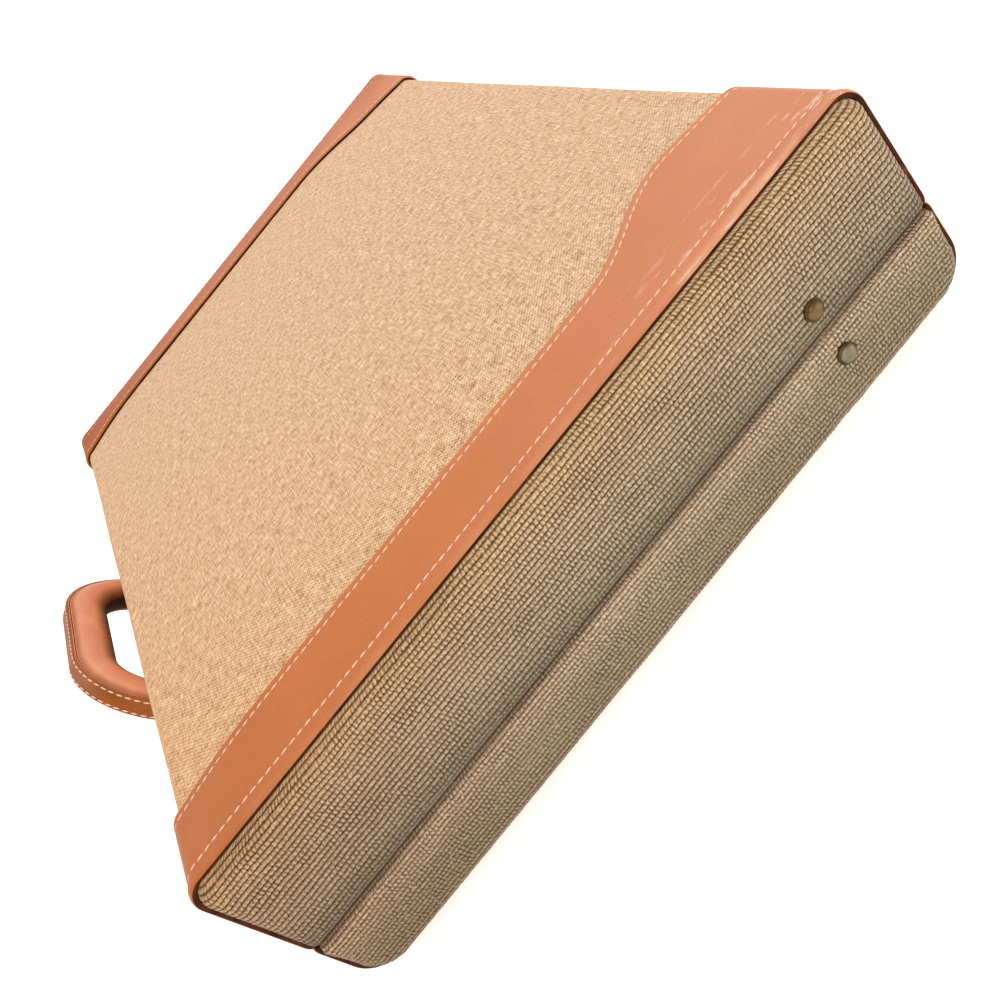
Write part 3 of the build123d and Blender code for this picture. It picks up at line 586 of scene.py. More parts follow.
# %% Shape of a band
BAND, SWELL = 36.0, 57.0
SWELL_FROM, SWELL_TO = 66.0, 123.0   # where the S-curve starts and ends, from the middle of the case
OUTER_STITCH, INNER_STITCH = 7.0, 3.4
EDGE_ROUND = 1.2
EDGE_OUT = 0.6                   # how far the leather stands out over the end of the shell
TURNED, TURNED_OVER = 0.5, 20.0  # leather turned in at the walls, and where it is full from the rim
LIP, LIP_FROM_EDGE, LIP_WIDTH = 0.35, 3.0, 1.8
GROOVE, GROOVE_WIDTH, GROOVE_PULL = 0.42, 0.8, 0.2
STITCH_PITCH = 3.9


def band_width(y):
    """Width of a band at a place across the case."""
    part = np.clip((y - SWELL_FROM) / (SWELL_TO - SWELL_FROM), 0, 1)
    return BAND + (SWELL - BAND) * np.sin(part * pi / 2) ** 2


def lean(y):
    """How much longer a step square to the inner edge gets when it is measured along the case."""
    part = np.clip((y - SWELL_FROM) / (SWELL_TO - SWELL_FROM), 0, 1)
    slope = (SWELL - BAND) * np.sin(part * pi) * pi / 2 / (SWELL_TO - SWELL_FROM)
    return np.sqrt(1 + slope ** 2)


OVER_FACE, OVER_WALL = 1.8, 1.2  # edge of the end panel beyond the shell, at the face and at the walls


def turned_in(half, z):
    """How far the leather is turned in over the end at a height of a wall: nothing at the rim."""
    return TURNED * half.close * np.clip(np.abs(z - half.rim) / TURNED_OVER, 0, 1) ** 0.8


FROM_OUTER = (0.0, 0.15, 0.35, 0.7, 1.2, 1.7, 2.3, 3.1, 4.0, 5.0, 5.8, 6.5, 7.0, 7.5, 8.1, 9.0, 10.4, 13.0)
FROM_INNER = (10.0, 7.2, 5.3, 4.4, 3.9, 3.4, 2.9, 2.4, 1.9, 1.5, 1.2, 0.7, 0.35, 0.15, 0.0)
MIDDLE_COLUMNS = 7


def band_section(half, line):
    """Columns of a band: distance in from the end of the shell, and depth under its surface, row by row."""
    width, stretch = band_width(line[:, 0:1]), lean(line[:, 0:1])
    outer = np.array(FROM_OUTER)[None, :] + 0 * width
    inner = width - np.array(FROM_INNER)[None, :] * stretch
    parts = np.linspace(0, 1, MIDDLE_COLUMNS + 2)[None, 1:-1]
    middle = outer[:, -1:] + (inner[:, :1] - outer[:, -1:]) * parts
    top = np.hstack((outer, middle, inner))
    to_inner = (width - top) / stretch
    ends = np.minimum(line[:, 4:5], line[-1, 4] - line[:, 4:5])
    edge = np.clip(np.minimum(np.minimum(top, to_inner), ends + 0.15), 0, EDGE_ROUND)
    drop = EDGE_ROUND - np.sqrt(EDGE_ROUND ** 2 - (EDGE_ROUND - edge) ** 2)
    pulled = GROOVE * (1 - GROOVE_PULL + GROOVE_PULL * np.cos(2 * pi * line[:, 4:5] / STITCH_PITCH))
    for off in (top - OUTER_STITCH, to_inner - INNER_STITCH):
        drop = drop + pulled * np.exp(-(off / GROOVE_WIDTH) ** 2)
    drop = drop - LIP * np.exp(-((top - LIP_FROM_EDGE) / LIP_WIDTH) ** 2)
    width = width - EDGE_OUT
    under = np.hstack((width, width * 0.75, width * 0.5, width * 0.25, 0 * width))
    wall = np.abs(line[:, 2:3])
    fold = CANVAS + LEATHER - OVER_FACE + (OVER_FACE - OVER_WALL) * wall
    fold = fold + turned_in(half, line[:, 1:2]) * wall ** 2
    lip_in = np.hstack((0 * width, 0 * width - EDGE_OUT * 0.7, 0 * width - EDGE_OUT))
    lip_drop = np.hstack((fold, fold, np.maximum(fold - 0.4, EDGE_ROUND + 0.1)))
    inwards = np.hstack((top - EDGE_OUT, under, lip_in))
    return inwards, np.hstack((drop, np.full_like(under, LEATHER), lip_drop))


# %% Bands
BAND_SPACING = 1.15
TURNED_COLUMNS = 8               # under side and turned lip: columns of a row after its top
bands = {}
for half in HALVES:
    line = stations(half, CANVAS + LEATHER, BAND_SPACING)
    inwards, drop = band_section(half, line)
    for side_name, side in SIDES:
        x = side * (SHELL_END - inwards)
        points = over(half, line, x, drop)
        uv = np.stack((x, line[:, 4:5] + 0 * x), axis=-1)
        name = half.name + "_band_" + side_name
        piece = skin(name, points, uv, half.body, [leather_cognac, edge_paint])
        columns = points.shape[1]
        top_columns = columns - TURNED_COLUMNS
        painted = {0, columns - 1, columns - 2, columns - 3, top_columns - 1}
        marks = np.zeros(len(piece.data.polygons), dtype=np.int32)
        quads = (len(line) - 1) * columns
        marks[:quads] = np.isin(np.arange(quads) % columns, list(painted))
        marks[quads:] = 1
        piece.data.polygons.foreach_set("material_index", marks)
        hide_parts(half.body + "_leather_" + side_name)
        bands[name] = (half, side, line)

# %% [markdown]
# ## Stitches
# Each stitch is a short piece of waxed thread that lies in the groove and dives into the leather at
# both ends. One stitch is modelled as a small slender pod, and a row of them is laid along a line
# given by points and outward directions. A stitch leans a little to one side, as saddle stitch does.

# %% One stitch, and a row of them
STITCH_LENGTH, STITCH_WIDTH, STITCH_HEIGHT = 3.4, 0.66, 0.55
STITCH_LEAN = 5.0
STITCH_RAISED = 0.12             # middle of the thread over the bottom of the groove
POD_WAIST, POD_TAPER = 1.25, 0.9

bpy.ops.object.select_all(action="DESELECT")
bpy.ops.mesh.primitive_uv_sphere_add(segments=8, ring_count=6, radius=0.5, location=(0, 0, 0))
pod = bpy.context.object
bpy.ops.object.mode_set(mode="EDIT")
bpy.ops.mesh.select_all(action="SELECT")
bpy.ops.transform.rotate(value=pi / 2, orient_axis="Y", center_override=(0, 0, 0))
bpy.ops.object.mode_set(mode="OBJECT")
pod_points, pod_faces = taken(pod)
pod_points[:, 1:] *= (POD_WAIST - POD_TAPER * np.abs(pod_points[:, :1]))


def stitch_row(line, outward, start=2.0, pitch=STITCH_PITCH):
    """Points of a row of stitches along a line of points, each with its outward direction."""
    run = summed(np.linalg.norm(np.diff(line, axis=0), axis=1))
    count = int((run[-1] - 2 * start) // pitch)
    rows = []
    for number in range(count):
        a, b = start + number * pitch, start + number * pitch + STITCH_LENGTH
        head, tail = (np.array([np.interp(at, run, line[:, i]) for i in range(3)]) for at in (a, b))
        up = np.array([np.interp((a + b) / 2, run, outward[:, i]) for i in range(3)])
        along = (tail - head) / np.linalg.norm(tail - head)
        aside = np.cross(up, along)
        aside /= np.linalg.norm(aside)
        up = np.cross(along, aside)
        tilt = sin(radians(STITCH_LEAN))
        along, aside = along + aside * tilt, aside - along * tilt
        body = (pod_points[:, :1] * along * STITCH_LENGTH + pod_points[:, 1:2] * aside * STITCH_WIDTH
                + pod_points[:, 2:] * up * STITCH_HEIGHT)
        rows.append((head + tail) / 2 + up * STITCH_RAISED + body)
    return rows


def sew(name, rows, body):
    """Joins rows of stitches into one piece."""
    pods = [stitch for row in rows for stitch in row]
    faces = [tuple(number * len(pod_points) + i for i in face)
             for number in range(len(pods)) for face in pod_faces]
    mesh = bpy.data.meshes.new(name)
    mesh.from_pydata((np.vstack(pods) * MM).tolist(), [], faces)
    settle(name, mesh, body, [thread_cream])
    print(name, len(pods), "stitches")


for name, (half, side, line) in bands.items():
    rows = []
    inner_row = band_width(line[:, 0]) - INNER_STITCH * lean(line[:, 0])
    for inwards in (np.full(len(line), OUTER_STITCH), inner_row):
        inwards = inwards - EDGE_OUT
        x = side * (SHELL_END - inwards)[:, None]
        points = over(half, line, x, np.full_like(x, GROOVE))[:, 0]
        outward = np.column_stack((0 * line[:, 2], line[:, 2:4]))
        rows.append(stitch_row(points, outward))
    sew(name.replace("band", "stitches"), rows, half.body)

# %% [markdown]
# ## Padded end panels
# Each end of a half is a board, padded and covered in ribbed cloth, set inside the edge of the leather.
# It is pillowed: it rises steeply from the seam and is nearly flat in the middle, and it rolls further
# over where the two halves meet, which leaves a soft V between them. The cords of the cloth are real
# ridges that follow the surface over its edges, so they are counted along the surface and not straight
# up. Cloth simulation would smooth such ridges away, so the pillow is shaped directly.

# %% End panels
END_PAD = 4.4
ROLL = 5.0                       # width of the rounded edge
RIB_HEIGHT, BEAD_HEIGHT = 0.58, 0.32
ROWS_PER_RIB, COLUMNS_PER_BEAD = 4, 4
SINK = 0.35                      # crest of the ribs against the CAD face
ROLL_REACH = 9.0                 # how far from the rim the softer roll there is felt
FINE_UP, FINE_ALONG = 1500, 6000  # places in which a profile is measured
RIB_ROUND, RIB_MIDDLE = 0.6, 0.4
SLIP, SLIP_EVERY = 0.45, 22      # drift of the beads along a cord, in beads, and its columns
BEAD_LEAST, BEAD_MOST = 0.15, 1.5
CORD_THINNEST, CORD_THICKEST = 0.8, 1.1
SWAY = 0.38                      # drift of the cords up and down, in the middle of the panel


def pillow(half, y, z):
    """Height of the padding, 0 at the seam and 1 in the middle."""
    top, low = half.face + half.up * OVER_FACE, half.rim
    centre, tall = (top + low) / 2, abs(top - low) / 2
    towards_face = half.up * (z - centre) > 0
    corner = np.where(towards_face, half.radius + OVER_FACE, RIM_RADIUS)
    q_y = np.abs(y) - (SHELL_Y + OVER_WALL - turned_in(half, z) - corner)
    q_z = np.abs(z - centre) - (tall - corner)
    inside = corner - np.hypot(np.maximum(q_y, 0), np.maximum(q_z, 0)) - np.minimum(np.maximum(q_y, q_z), 0)
    from_rim = np.abs(z - low)
    roll = ROLL + (half.rim_roll - ROLL) * np.exp(-(from_rim / ROLL_REACH) ** 2)
    part = np.clip(inside / roll, 0, 1)
    return np.sqrt(np.maximum(1 - (1 - part) ** 2, 0))


def even(places, heights, pitch):
    """Places at even distances along a profile, and those distances."""
    run = summed(np.hypot(np.diff(places), np.diff(heights)))
    steps = int(round(run[-1] / pitch))
    at = np.linspace(0, run[-1], steps + 1)
    return np.interp(at, run, places), at


def drift(rng, rows, columns, every_rows, every_columns):
    """Smooth random field between -1 and 1."""
    knots = rng.uniform(-1, 1, (int(rows / every_rows) + 3, int(columns / every_columns) + 3))
    at = np.arange(columns) / every_columns
    wide = np.array([np.interp(at, range(knots.shape[1]), row) for row in knots])
    at = np.arange(rows) / every_rows
    return np.array([np.interp(at, range(len(knots)), column) for column in wide.T]).T


rng = np.random.default_rng(7)
for half in HALVES:
    low, top = half.rim, half.face + half.up * OVER_FACE
    pitch = RIB_PITCH * half.close
    fine = np.linspace(low, top, FINE_UP)
    z, up_run = even(fine, END_PAD * pillow(half, 0 * fine, fine), pitch / ROWS_PER_RIB)
    middle = (low + top) / 2
    wide = SHELL_Y + OVER_WALL
    fine = np.linspace(-wide, wide, FINE_ALONG)
    y, along_run = even(fine, END_PAD * pillow(half, fine, 0 * fine + middle), BEAD_PITCH / COLUMNS_PER_BEAD)
    corner = np.where(half.up * (z - middle) > 0, half.radius + OVER_FACE, RIM_RADIUS)
    beyond = np.maximum(np.abs(z - middle) - (abs(top - low) / 2 - corner), 0)
    reach = (wide - turned_in(half, z) - corner + np.sqrt(np.maximum(corner ** 2 - beyond ** 2, 0))) / wide
    y2, z2 = y[None, :] * reach[:, None], z[:, None] + 0 * y[None, :]
    fill = pillow(half, y2, z2)
    ribs = np.abs(np.cos(pi * up_run / pitch)) ** RIB_ROUND
    rib_number = np.floor(up_run / pitch + 0.5).astype(int)
    slip = np.repeat(drift(rng, rib_number.max() + 1, len(y), 1, SLIP_EVERY), ROWS_PER_RIB, axis=0)
    slip = slip[np.clip(np.arange(len(z)) + ROWS_PER_RIB // 2, 0, len(slip) - 1)]
    turns = along_run[None, :] / BEAD_PITCH + 0.5 * (rib_number % 2)[:, None] + SLIP * slip
    uneven = rng.uniform(BEAD_LEAST, BEAD_MOST, (rib_number.max() + 2, int(turns.max()) + 3))
    strength = uneven[rib_number[:, None] + 0 * y2.astype(int), np.floor(turns + 0.5).astype(int) + 1]
    patchy = 0.75 + 0.45 * drift(rng, len(z), len(y), 9, 30)
    beads = np.cos(2 * pi * turns) * strength * patchy * ribs[:, None]
    thickness = rng.uniform(CORD_THINNEST, CORD_THICKEST, rib_number.max() + 2)[rib_number][:, None]
    raised = (ribs[:, None] - RIB_MIDDLE) * RIB_HEIGHT * thickness + BEAD_HEIGHT * beads
    x = SHELL_END + (END_PAD - SINK) * fill + np.minimum(1, 1.5 * fill) * raised
    inside = np.minimum(1, np.minimum(np.abs(z - low), np.abs(z - top)) / 4)[:, None]
    inside = inside * np.minimum(1, (wide - abs(y)) / 8)
    z2 = z2 + SWAY * inside * drift(rng, len(z), len(y), 14, 26)
    front = np.stack((x, y2, z2), axis=-1)
    front[(0, -1), :, 0] = SHELL_END
    front[:, (0, -1), 0] = SHELL_END
    rows, columns = x.shape
    index = np.arange(rows * columns).reshape(rows, columns)
    quads = np.stack((index[:-1, :-1], index[:-1, 1:], index[1:, 1:], index[1:, :-1]), axis=-1).reshape(-1, 4)
    back = np.concatenate((index[0], index[1:, -1], index[-1, -2::-1], index[-2:0:-1, 0])).tolist()
    cloth_run = np.stack((along_run[None, :] + 0 * z2, up_run[:, None] / half.close + 0 * y2), axis=-1)
    for side_name, side in SIDES:
        name = half.name + "_end_panel_" + side_name
        mesh = bpy.data.meshes.new(name)
        mesh.from_pydata((front.reshape(-1, 3) * (side * MM, MM, MM)).tolist(), [], quads.tolist() + [back])
        lay_cloth(mesh, cloth_run)
        bead = mesh.attributes.new("bead", "FLOAT", "POINT")
        bead.data.foreach_set("value", (0.5 + 0.5 * np.clip(beads, -1, 1)).ravel())
        piece = settle(name, mesh, half.body, [ribbed_cord])
        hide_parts(half.body + "_end_panel_" + side_name)
        print(name, rows, "x", columns, "points,", rib_number.max(), "ribs")

# %% [markdown]
# ## The handle
# A steel strip runs through the handle. Over it lies padding wrapped in leather, and a flat strip of
# leather closes the wrap round the outside, sewn down along both of its edges. So the section has a
# round padded roll, a crease at each row of stitches, and a flat between them. The section is swept
# along the same line as the steel: two short legs and two wide bends.

# %% Handle grip
PIVOT = np.array((0.0, -173.3, SPLIT + 11.5))
TILT = radians(65.0)
SPREAD, REACH, BEND = 112.4, 37.6, 31.4
HALF_WIDTH, HALF_THICKNESS = 10.3, 7.8
GRIP_START = 6.0
STRIP_HALF = 4.9
SEAM_IN, SEAM_OUT, SEAM_PITCH = 1.6, 10.45, 4.2   # stitches: in from the strip's edge, out, apart
END_SCALE, END_LENGTH = 0.80, 5.0                 # the grip narrows to this share at its ends
outwards = np.array((0.0, -cos(TILT), sin(TILT)))
across_handle = np.array((0.0, sin(TILT), cos(TILT)))


def handle_line(step):
    """Middle line of the handle: places in its own plane, and directions along it."""
    straight_x, bend_x = SPREAD / 2, SPREAD / 2 - BEND
    places = [(straight_x, GRIP_START, 0.0)]
    for a in np.linspace(0, pi / 2, int(BEND * pi / 2 / step) + 1):
        places.append((bend_x + BEND * cos(a), REACH - BEND + BEND * sin(a), a))
    for part in np.linspace(1, -1, int(2 * bend_x / step) + 1)[1:-1]:
        places.append((bend_x * part, REACH, pi / 2))
    for a in np.linspace(pi / 2, pi, int(BEND * pi / 2 / step) + 1):
        places.append((-bend_x + BEND * cos(a), REACH - BEND + BEND * sin(a), a))
    places.append((-straight_x, GRIP_START, pi))
    return np.array(places)


def handle_section():
    """Section of the grip: outwards and across, anticlockwise."""
    turn = np.linspace(radians(38), radians(322), 41)
    roll = [(HALF_WIDTH * cos(a), HALF_THICKNESS * sin(a)) for a in turn]
    strip = [(9.2, -STRIP_HALF - 0.25), (9.9, -STRIP_HALF + 0.05), (10.35, -STRIP_HALF + 0.4),
             (10.5, -STRIP_HALF + 1.0), (10.35, -STRIP_HALF + 1.6), (10.5, -1.8), (10.6, 0.0)]
    strip += [(out, -aside) for out, aside in strip[-2::-1]]
    return np.array(roll[:-1] + strip[1:-1])


line = handle_line(1.2)
section = handle_section()
along = summed(np.hypot(np.diff(line[:, 0]), np.diff(line[:, 1])))
end = np.minimum(along, along[-1] - along)
swell = END_SCALE + (1 - END_SCALE) * np.sqrt(np.clip(end / END_LENGTH, 0, 1))
centre = PIVOT + line[:, :1] * np.array((1.0, 0, 0)) + line[:, 1:2] * outwards
radial = np.cos(line[:, 2:3]) * np.array((1.0, 0, 0)) + np.sin(line[:, 2:3]) * outwards
scaled = section[None, :, :] * swell[:, None, None]
points = centre[:, None, :] + radial[:, None, :] * scaled[:, :, :1] + across_handle * scaled[:, :, 1:]
around = summed(np.hypot(*np.diff(section, axis=0).T))
uv = np.stack((around[None, :] + 0 * along[:, None], along[:, None] + 0 * around[None, :]), axis=-1)
handle_leather, tree, shader = finish("polished_handle_leather", Specular_IOR_Level=0.16)
round_grip = axes_of(tree, where(tree, "UV"))["X"]
round_grip = climb(tree, round_grip, 0.0, around[-1] * MM)
mottle = grain(tree, where(tree), 8.0, (2, 1, 1), 3.0, 0.6)
# Painted light and shade round the grip: the roll is painted light on its outer faces, near black on its
# inner side towards the case, where shadow falls, and darker in the creases by the strip.
wear_and_painted_light = ramp(tree, round_grip, [(0.0, "B86E3E"), (0.05, "E2A47E"), (0.19, "DE9A70"), (0.28, "96552A"),
                               (0.34, "30140A"), (0.44, "30140A"), (0.50, "96552A"), (0.59, "DE9A70"),
                               (0.75, "E2A47E"), (0.79, "7C3C14")])
strip = climb(tree, round_grip, 0.785, 0.80)
wear_and_painted_light = mix(tree, strip, wear_and_painted_light, linear("A85A24"))
mottle = ramp(tree, mottle, [(0.3, "5A5450"), (0.5, "808080"), (0.7, "A8A29A")])
wear_and_painted_light = mix(tree, 0.4, wear_and_painted_light, mottle, "OVERLAY")
inner_side = sums(tree, "ABSOLUTE", sums(tree, "SUBTRACT", round_grip, 0.39))
dull = climb(tree, inner_side, 0.10, 0.18, 0.95, 0.42)
tree.links.new(dull, shader.inputs["Roughness"])
fold = grain(tree, where(tree, "UV"), 1.1, (4, 1, 1), 3.0, 0.6)
dress(tree, shader, wear_and_painted_light, fold, 0.2, 0.25)
grip = skin("handle_wrap", points, uv, "handle", [handle_leather])
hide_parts("handle_grip")
rows = []
for aside in (STRIP_HALF - SEAM_IN, SEAM_IN - STRIP_HALF):
    path = centre + radial * SEAM_OUT + across_handle * aside
    rows.append(stitch_row(path, radial, start=3.0, pitch=SEAM_PITCH))
sew("handle_stitches", rows, "handle")
print("handle wrap", round(along[-1]), "mm long")

# %% [markdown]
# ## Rivet caps
# The two rivets on each end are the ends of the folding stays' pins. The CAD model gives them a plain
# washer-like dome, finished dark. Here each gets a brighter turned cap in its middle: a disc is extruded
# and rounded over in edit mode, so that the dark metal shows as a ring round it.

# %% Rivet caps
RIVET_Y, RIVET_RISE = 107.2, 11.5
CAP_RADIUS, CAP_HEIGHT = 3.3, 1.9
CAP_RIM, CAP_RINGS = 0.35, 9
PANEL_FACE = 229.0


def rivet_cap(name, x, side, z, body, material):
    """Domed cap on an end panel."""
    bpy.ops.object.select_all(action="DESELECT")
    bpy.ops.mesh.primitive_circle_add(vertices=40, radius=CAP_RADIUS * MM, fill_type="NGON",
                                      location=(0, 0, 0))
    cap = bpy.context.object
    cap.name = name
    bpy.ops.object.mode_set(mode="EDIT")
    bpy.ops.mesh.select_all(action="SELECT")
    bpy.ops.mesh.extrude_region_move(TRANSFORM_OT_translate={"value": (0, 0, CAP_RIM * MM)})
    for ring in range(1, CAP_RINGS):
        turn = ring / CAP_RINGS * pi / 2
        before = (ring - 1) / CAP_RINGS * pi / 2
        step = cos(turn) / cos(before)
        rise = (sin(turn) - sin(before)) * (CAP_HEIGHT - CAP_RIM)
        bpy.ops.mesh.extrude_region_move(TRANSFORM_OT_translate={"value": (0, 0, rise * MM)})
        bpy.ops.transform.resize(value=(step, step, 1), center_override=(0, 0, 0))
    bpy.ops.mesh.select_all(action="SELECT")
    bpy.ops.mesh.normals_make_consistent(inside=False)
    bpy.ops.transform.rotate(value=pi / 2, orient_axis="Y", center_override=(0, 0, 0))
    bpy.ops.object.mode_set(mode="OBJECT")
    points, faces = taken(cap)
    flip = side * np.sign(points[:, 0].sum())
    place = np.array((x, RIVET_Y, z)) * MM
    mesh = bpy.data.meshes.new(name)
    mesh.from_pydata((points * (flip, 1, 1) + place).tolist(), [], faces)
    return settle(name, mesh, body, [material])


bronze = metal("dark_bronze", "3A2C1E", "5E4A32", 0.38)
old_brass = metal("worn_antique_brass", "54422C", "8A7048", 0.30)
old_nickel = metal("yellowed_nickel", "665C4E", "9C8E78", 0.38)
for half, material in ((DEEP, old_brass), (SHALLOW, old_nickel)):
    for side_name, side in SIDES:
        rivet_cap(half.name + "_rivet_cap_" + side_name, side * PANEL_FACE, side,
                  SPLIT + half.up * RIVET_RISE, half.body, material)
print("rivet caps 4")

# %% [markdown]
# ## Links of the folding stays
# Inside each end two flat steel links join the halves, from a rivet in each half to one knuckle pin. A
# link is stamped from strip: a slot-shaped plate with a hole at each end. So a thin disc is pulled apart
# into a slot, two drills take out the holes, and a fine bevel breaks the edges. The CAD model's own links
# lean the other way and miss their pins, so these four replace them.

# %% Links of the folding stays
LINK_REACH, LINK_WIDTH, LINK_THICK = 56.0, 11.0, 1.5
LINK_BORE, LINK_EDGE = 2.08, 0.2
LOWER_LINK_X, UPPER_LINK_X = 216.85, 215.05   # middle of each link's thickness
link_length = (LINK_REACH ** 2 + RIVET_RISE ** 2) ** 0.5


def stay_link(name, half, side, x):
    """Drilled link from the rivet of a half to the knuckle pin of one end."""
    bpy.ops.object.select_all(action="DESELECT")
    bpy.ops.mesh.primitive_cylinder_add(vertices=64, radius=LINK_WIDTH / 2 * MM, depth=LINK_THICK * MM,
                                        location=(0, 0, 0), rotation=(0, 0, pi / 64))
    link = bpy.context.object
    bpy.ops.object.transform_apply(location=True, rotation=True, scale=True)
    bpy.ops.object.mode_set(mode="EDIT")
    bpy.ops.mesh.select_all(action="DESELECT")
    work = bmesh.from_edit_mesh(link.data)
    for vertex in work.verts:
        vertex.select = vertex.co.y > 0
    work.select_flush_mode()
    bmesh.update_edit_mesh(link.data)
    bpy.ops.transform.translate(value=(0, link_length * MM, 0))
    bpy.ops.object.mode_set(mode="OBJECT")
    for place in (0, link_length):
        bpy.ops.object.select_all(action="DESELECT")
        bpy.ops.mesh.primitive_cylinder_add(vertices=48, radius=LINK_BORE * MM, depth=3 * LINK_THICK * MM,
                                            location=(0, place * MM, 0))
        drill = bpy.context.object
        bpy.context.view_layer.objects.active = link
        hole = link.modifiers.new("hole", "BOOLEAN")
        hole.operation, hole.object = "DIFFERENCE", drill
        bpy.ops.object.modifier_apply(modifier=hole.name)
        bpy.data.objects.remove(drill, do_unlink=True)
    edge = link.modifiers.new("broken edge", "BEVEL")
    edge.width, edge.segments = LINK_EDGE * MM, 2
    edge.limit_method, edge.angle_limit = "ANGLE", radians(40)
    bpy.ops.object.modifier_apply(modifier=edge.name)
    lengthwise = Vector((0, -LINK_REACH, -half.up * RIVET_RISE)).normalized()
    through = Vector((1, 0, 0))
    link.data.transform(Matrix((lengthwise.cross(through), lengthwise, through)).transposed().to_4x4())
    link.data.transform(Matrix.Translation(Vector((side * x, RIVET_Y, SPLIT + half.up * RIVET_RISE)) * MM))
    mesh = link.data.copy()
    bpy.data.objects.remove(link, do_unlink=True)
    mesh.name = name + "_plate"
    piece = settle(name + "_plate", mesh, name, [nickel], smooth=False)
    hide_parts(name)


for half, word, x in ((SHALLOW, "lower", LOWER_LINK_X), (DEEP, "upper", UPPER_LINK_X)):
    for side_name, side in SIDES:
        stay_link("stay_" + word + "_" + side_name, half, side, x)
print("stay links", round(link_length, 2), "mm between holes")

# %% [markdown]
# ## Linings
# Each half is lined with one tray of cloth that follows the inside of the shell. It is modelled as a
# box that loses its open side, has its upright and floor edges rounded, and then gets the thickness of
# cloth and board. The rounded corners are what tells it from a plain box when the case stands open.

# %% Linings
LINING_CORNER = 5.0


def lining_tray(half, thickness):
    """Lined inside of a half."""
    low, high = (Vector(corner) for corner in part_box(half.body + "_lining"))
    bpy.ops.object.select_all(action="DESELECT")
    bpy.ops.mesh.primitive_cube_add(size=1.0, location=(0, 0, 0))
    tray = bpy.context.object
    tray.name = half.name + "_lining_tray"
    bpy.ops.object.mode_set(mode="EDIT")
    bpy.ops.mesh.select_all(action="SELECT")
    bpy.ops.transform.resize(value=tuple(high - low), center_override=(0, 0, 0))
    bpy.ops.transform.translate(value=tuple((high + low) / 2))
    bpy.ops.mesh.select_all(action="DESELECT")
    work = bmesh.from_edit_mesh(tray.data)
    for face in work.faces:
        face.select = face.normal.z * half.up < -0.9
    bpy.ops.mesh.delete(type="FACE")
    work = bmesh.from_edit_mesh(tray.data)
    for edge in work.edges:
        edge.select = len(edge.link_faces) == 2
    bmesh.update_edit_mesh(tray.data)
    bpy.ops.mesh.bevel(offset=LINING_CORNER * MM, segments=5, affect="EDGES")
    bpy.ops.mesh.select_all(action="SELECT")
    bpy.ops.mesh.normals_make_consistent(inside=False)
    bpy.ops.object.mode_set(mode="OBJECT")
    wall = tray.modifiers.new("cloth and board", "SOLIDIFY")
    wall.thickness, wall.offset = thickness * MM, -1
    bpy.ops.object.modifier_apply(modifier=wall.name)
    bpy.ops.object.shade_smooth_by_angle(angle=radians(40))
    tray.data.materials.append(twill_lining)
    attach(tray, half.body)
    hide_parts(half.body + "_lining")


for half, thickness in ((DEEP, 0.8), (SHALLOW, 1.2)):
    lining_tray(half, thickness)

# %% [markdown]
# ## Document pocket
# The shallow half holds papers in a flat pocket, sewn down on three sides and open towards the handle.
# Its front is a sheet of lining leather that bellies out a little, with a turned hem at its mouth.

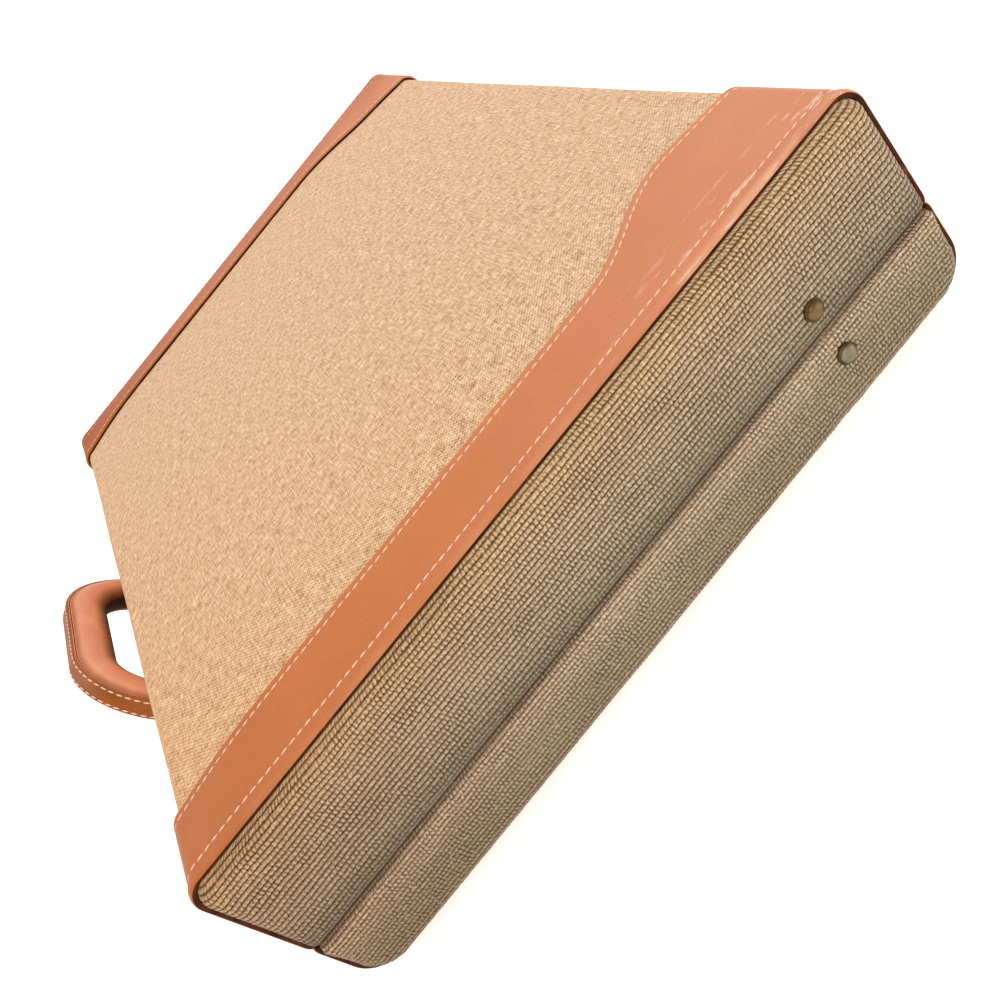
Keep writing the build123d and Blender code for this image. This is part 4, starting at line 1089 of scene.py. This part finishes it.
# %% Document pocket
pocket_low, pocket_high = (np.array(corner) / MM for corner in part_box("document_pocket"))
POCKET_SHEET, POCKET_CORNER, POCKET_BELLY = 1.2, 14.0, 0.9
HEM, HEM_EXTRA = 9.0, 0.5
POCKET_EDGE, POCKET_FOOT, POCKET_TOP = 9.0, 0.5, 0.3
u = np.linspace(-1, 1, 81)
v = np.concatenate((np.linspace(0, HEM, 5), np.linspace(HEM + 0.6, pocket_high[1] - pocket_low[1], 48)))
half_long = (pocket_high[0] - pocket_low[0]) / 2
deep_way = v[-1]
shape = []
for distance in v:
    left = min(1.0, (deep_way - distance) / POCKET_CORNER)
    shape.append(half_long - POCKET_CORNER * (1 - np.sqrt(max(0.0, 1 - (1 - left) ** 2))))
x = np.array(shape)[:, None] * u[None, :]
y = pocket_low[1] + v[:, None] + 0 * x
edge = np.minimum(np.minimum(half_long - abs(x), deep_way - v[:, None]), POCKET_EDGE) / POCKET_EDGE
rise = np.sqrt(np.clip(1 - (1 - np.clip(edge, 0, 1)) ** 2, 0, 1))
flat_top = pocket_high[2] - POCKET_TOP
z_top = pocket_low[2] + POCKET_FOOT + (flat_top - pocket_low[2] - POCKET_FOOT) * rise
z_top = z_top + POCKET_BELLY * np.sin(pi * np.clip(v[:, None] / deep_way, 0, 1)) * np.cos(pi * u[None, :] / 2)
z_top = z_top + HEM_EXTRA * (v[:, None] <= HEM)
z_low = z_top - POCKET_SHEET * 0.45
points = np.concatenate((np.stack((x, y, z_top), -1), np.stack((x, y, z_low), -1)[:, ::-1]), axis=1)
uv = points[:, :, :2].copy()
pocket = skin("pocket_front", points, uv, "lid", [leather_cognac])
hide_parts("document_pocket")
hem_line = np.stack((x[5], y[5], z_top[5]), -1)
side_line = [np.stack((x[6:-6, i], y[6:-6, i], z_top[6:-6, i]), -1) for i in (2, -3)]
sew("pocket_stitches", [stitch_row(row, np.tile((0.0, 0.0, 1.0), (len(row), 1)))
                        for row in [hem_line] + side_line], "lid")
print("pocket", round(2 * half_long), "x", round(deep_way), "mm")

# %% [markdown]
# ## Finishes of the CAD pieces that stay
# Rigid pieces keep their CAD shape and only change their finish: brass for what the hand touches and
# for the feet, nickel for hinges, stays and the handle's steel, fibreboard for the shells, felt for the
# padding. The finish goes into the material slots of the node's own object.

# %% Finishes of rigid nodes
FINISHES = (
    (fibreboard, ("shell",)),
    (felt, ("padding",)),
    (brass, ("lock_case", "lock_button", "key_plug", "hasp", "catch_plate", "catch_rivets", "glides",
             "handle_bracket", "handle_pins", "handle_rivets")),
    (bronze, ("stay_rivets",)),
    (nickel, ("hinge", "stay_", "rim_tongue", "handle_core")),
)
for node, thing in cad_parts.items():
    for material, words in FINISHES:
        if any(word in node for word in words):
            thing.data.materials.clear()
            thing.data.materials.append(material)
            break
print(len(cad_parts), "nodes finished")
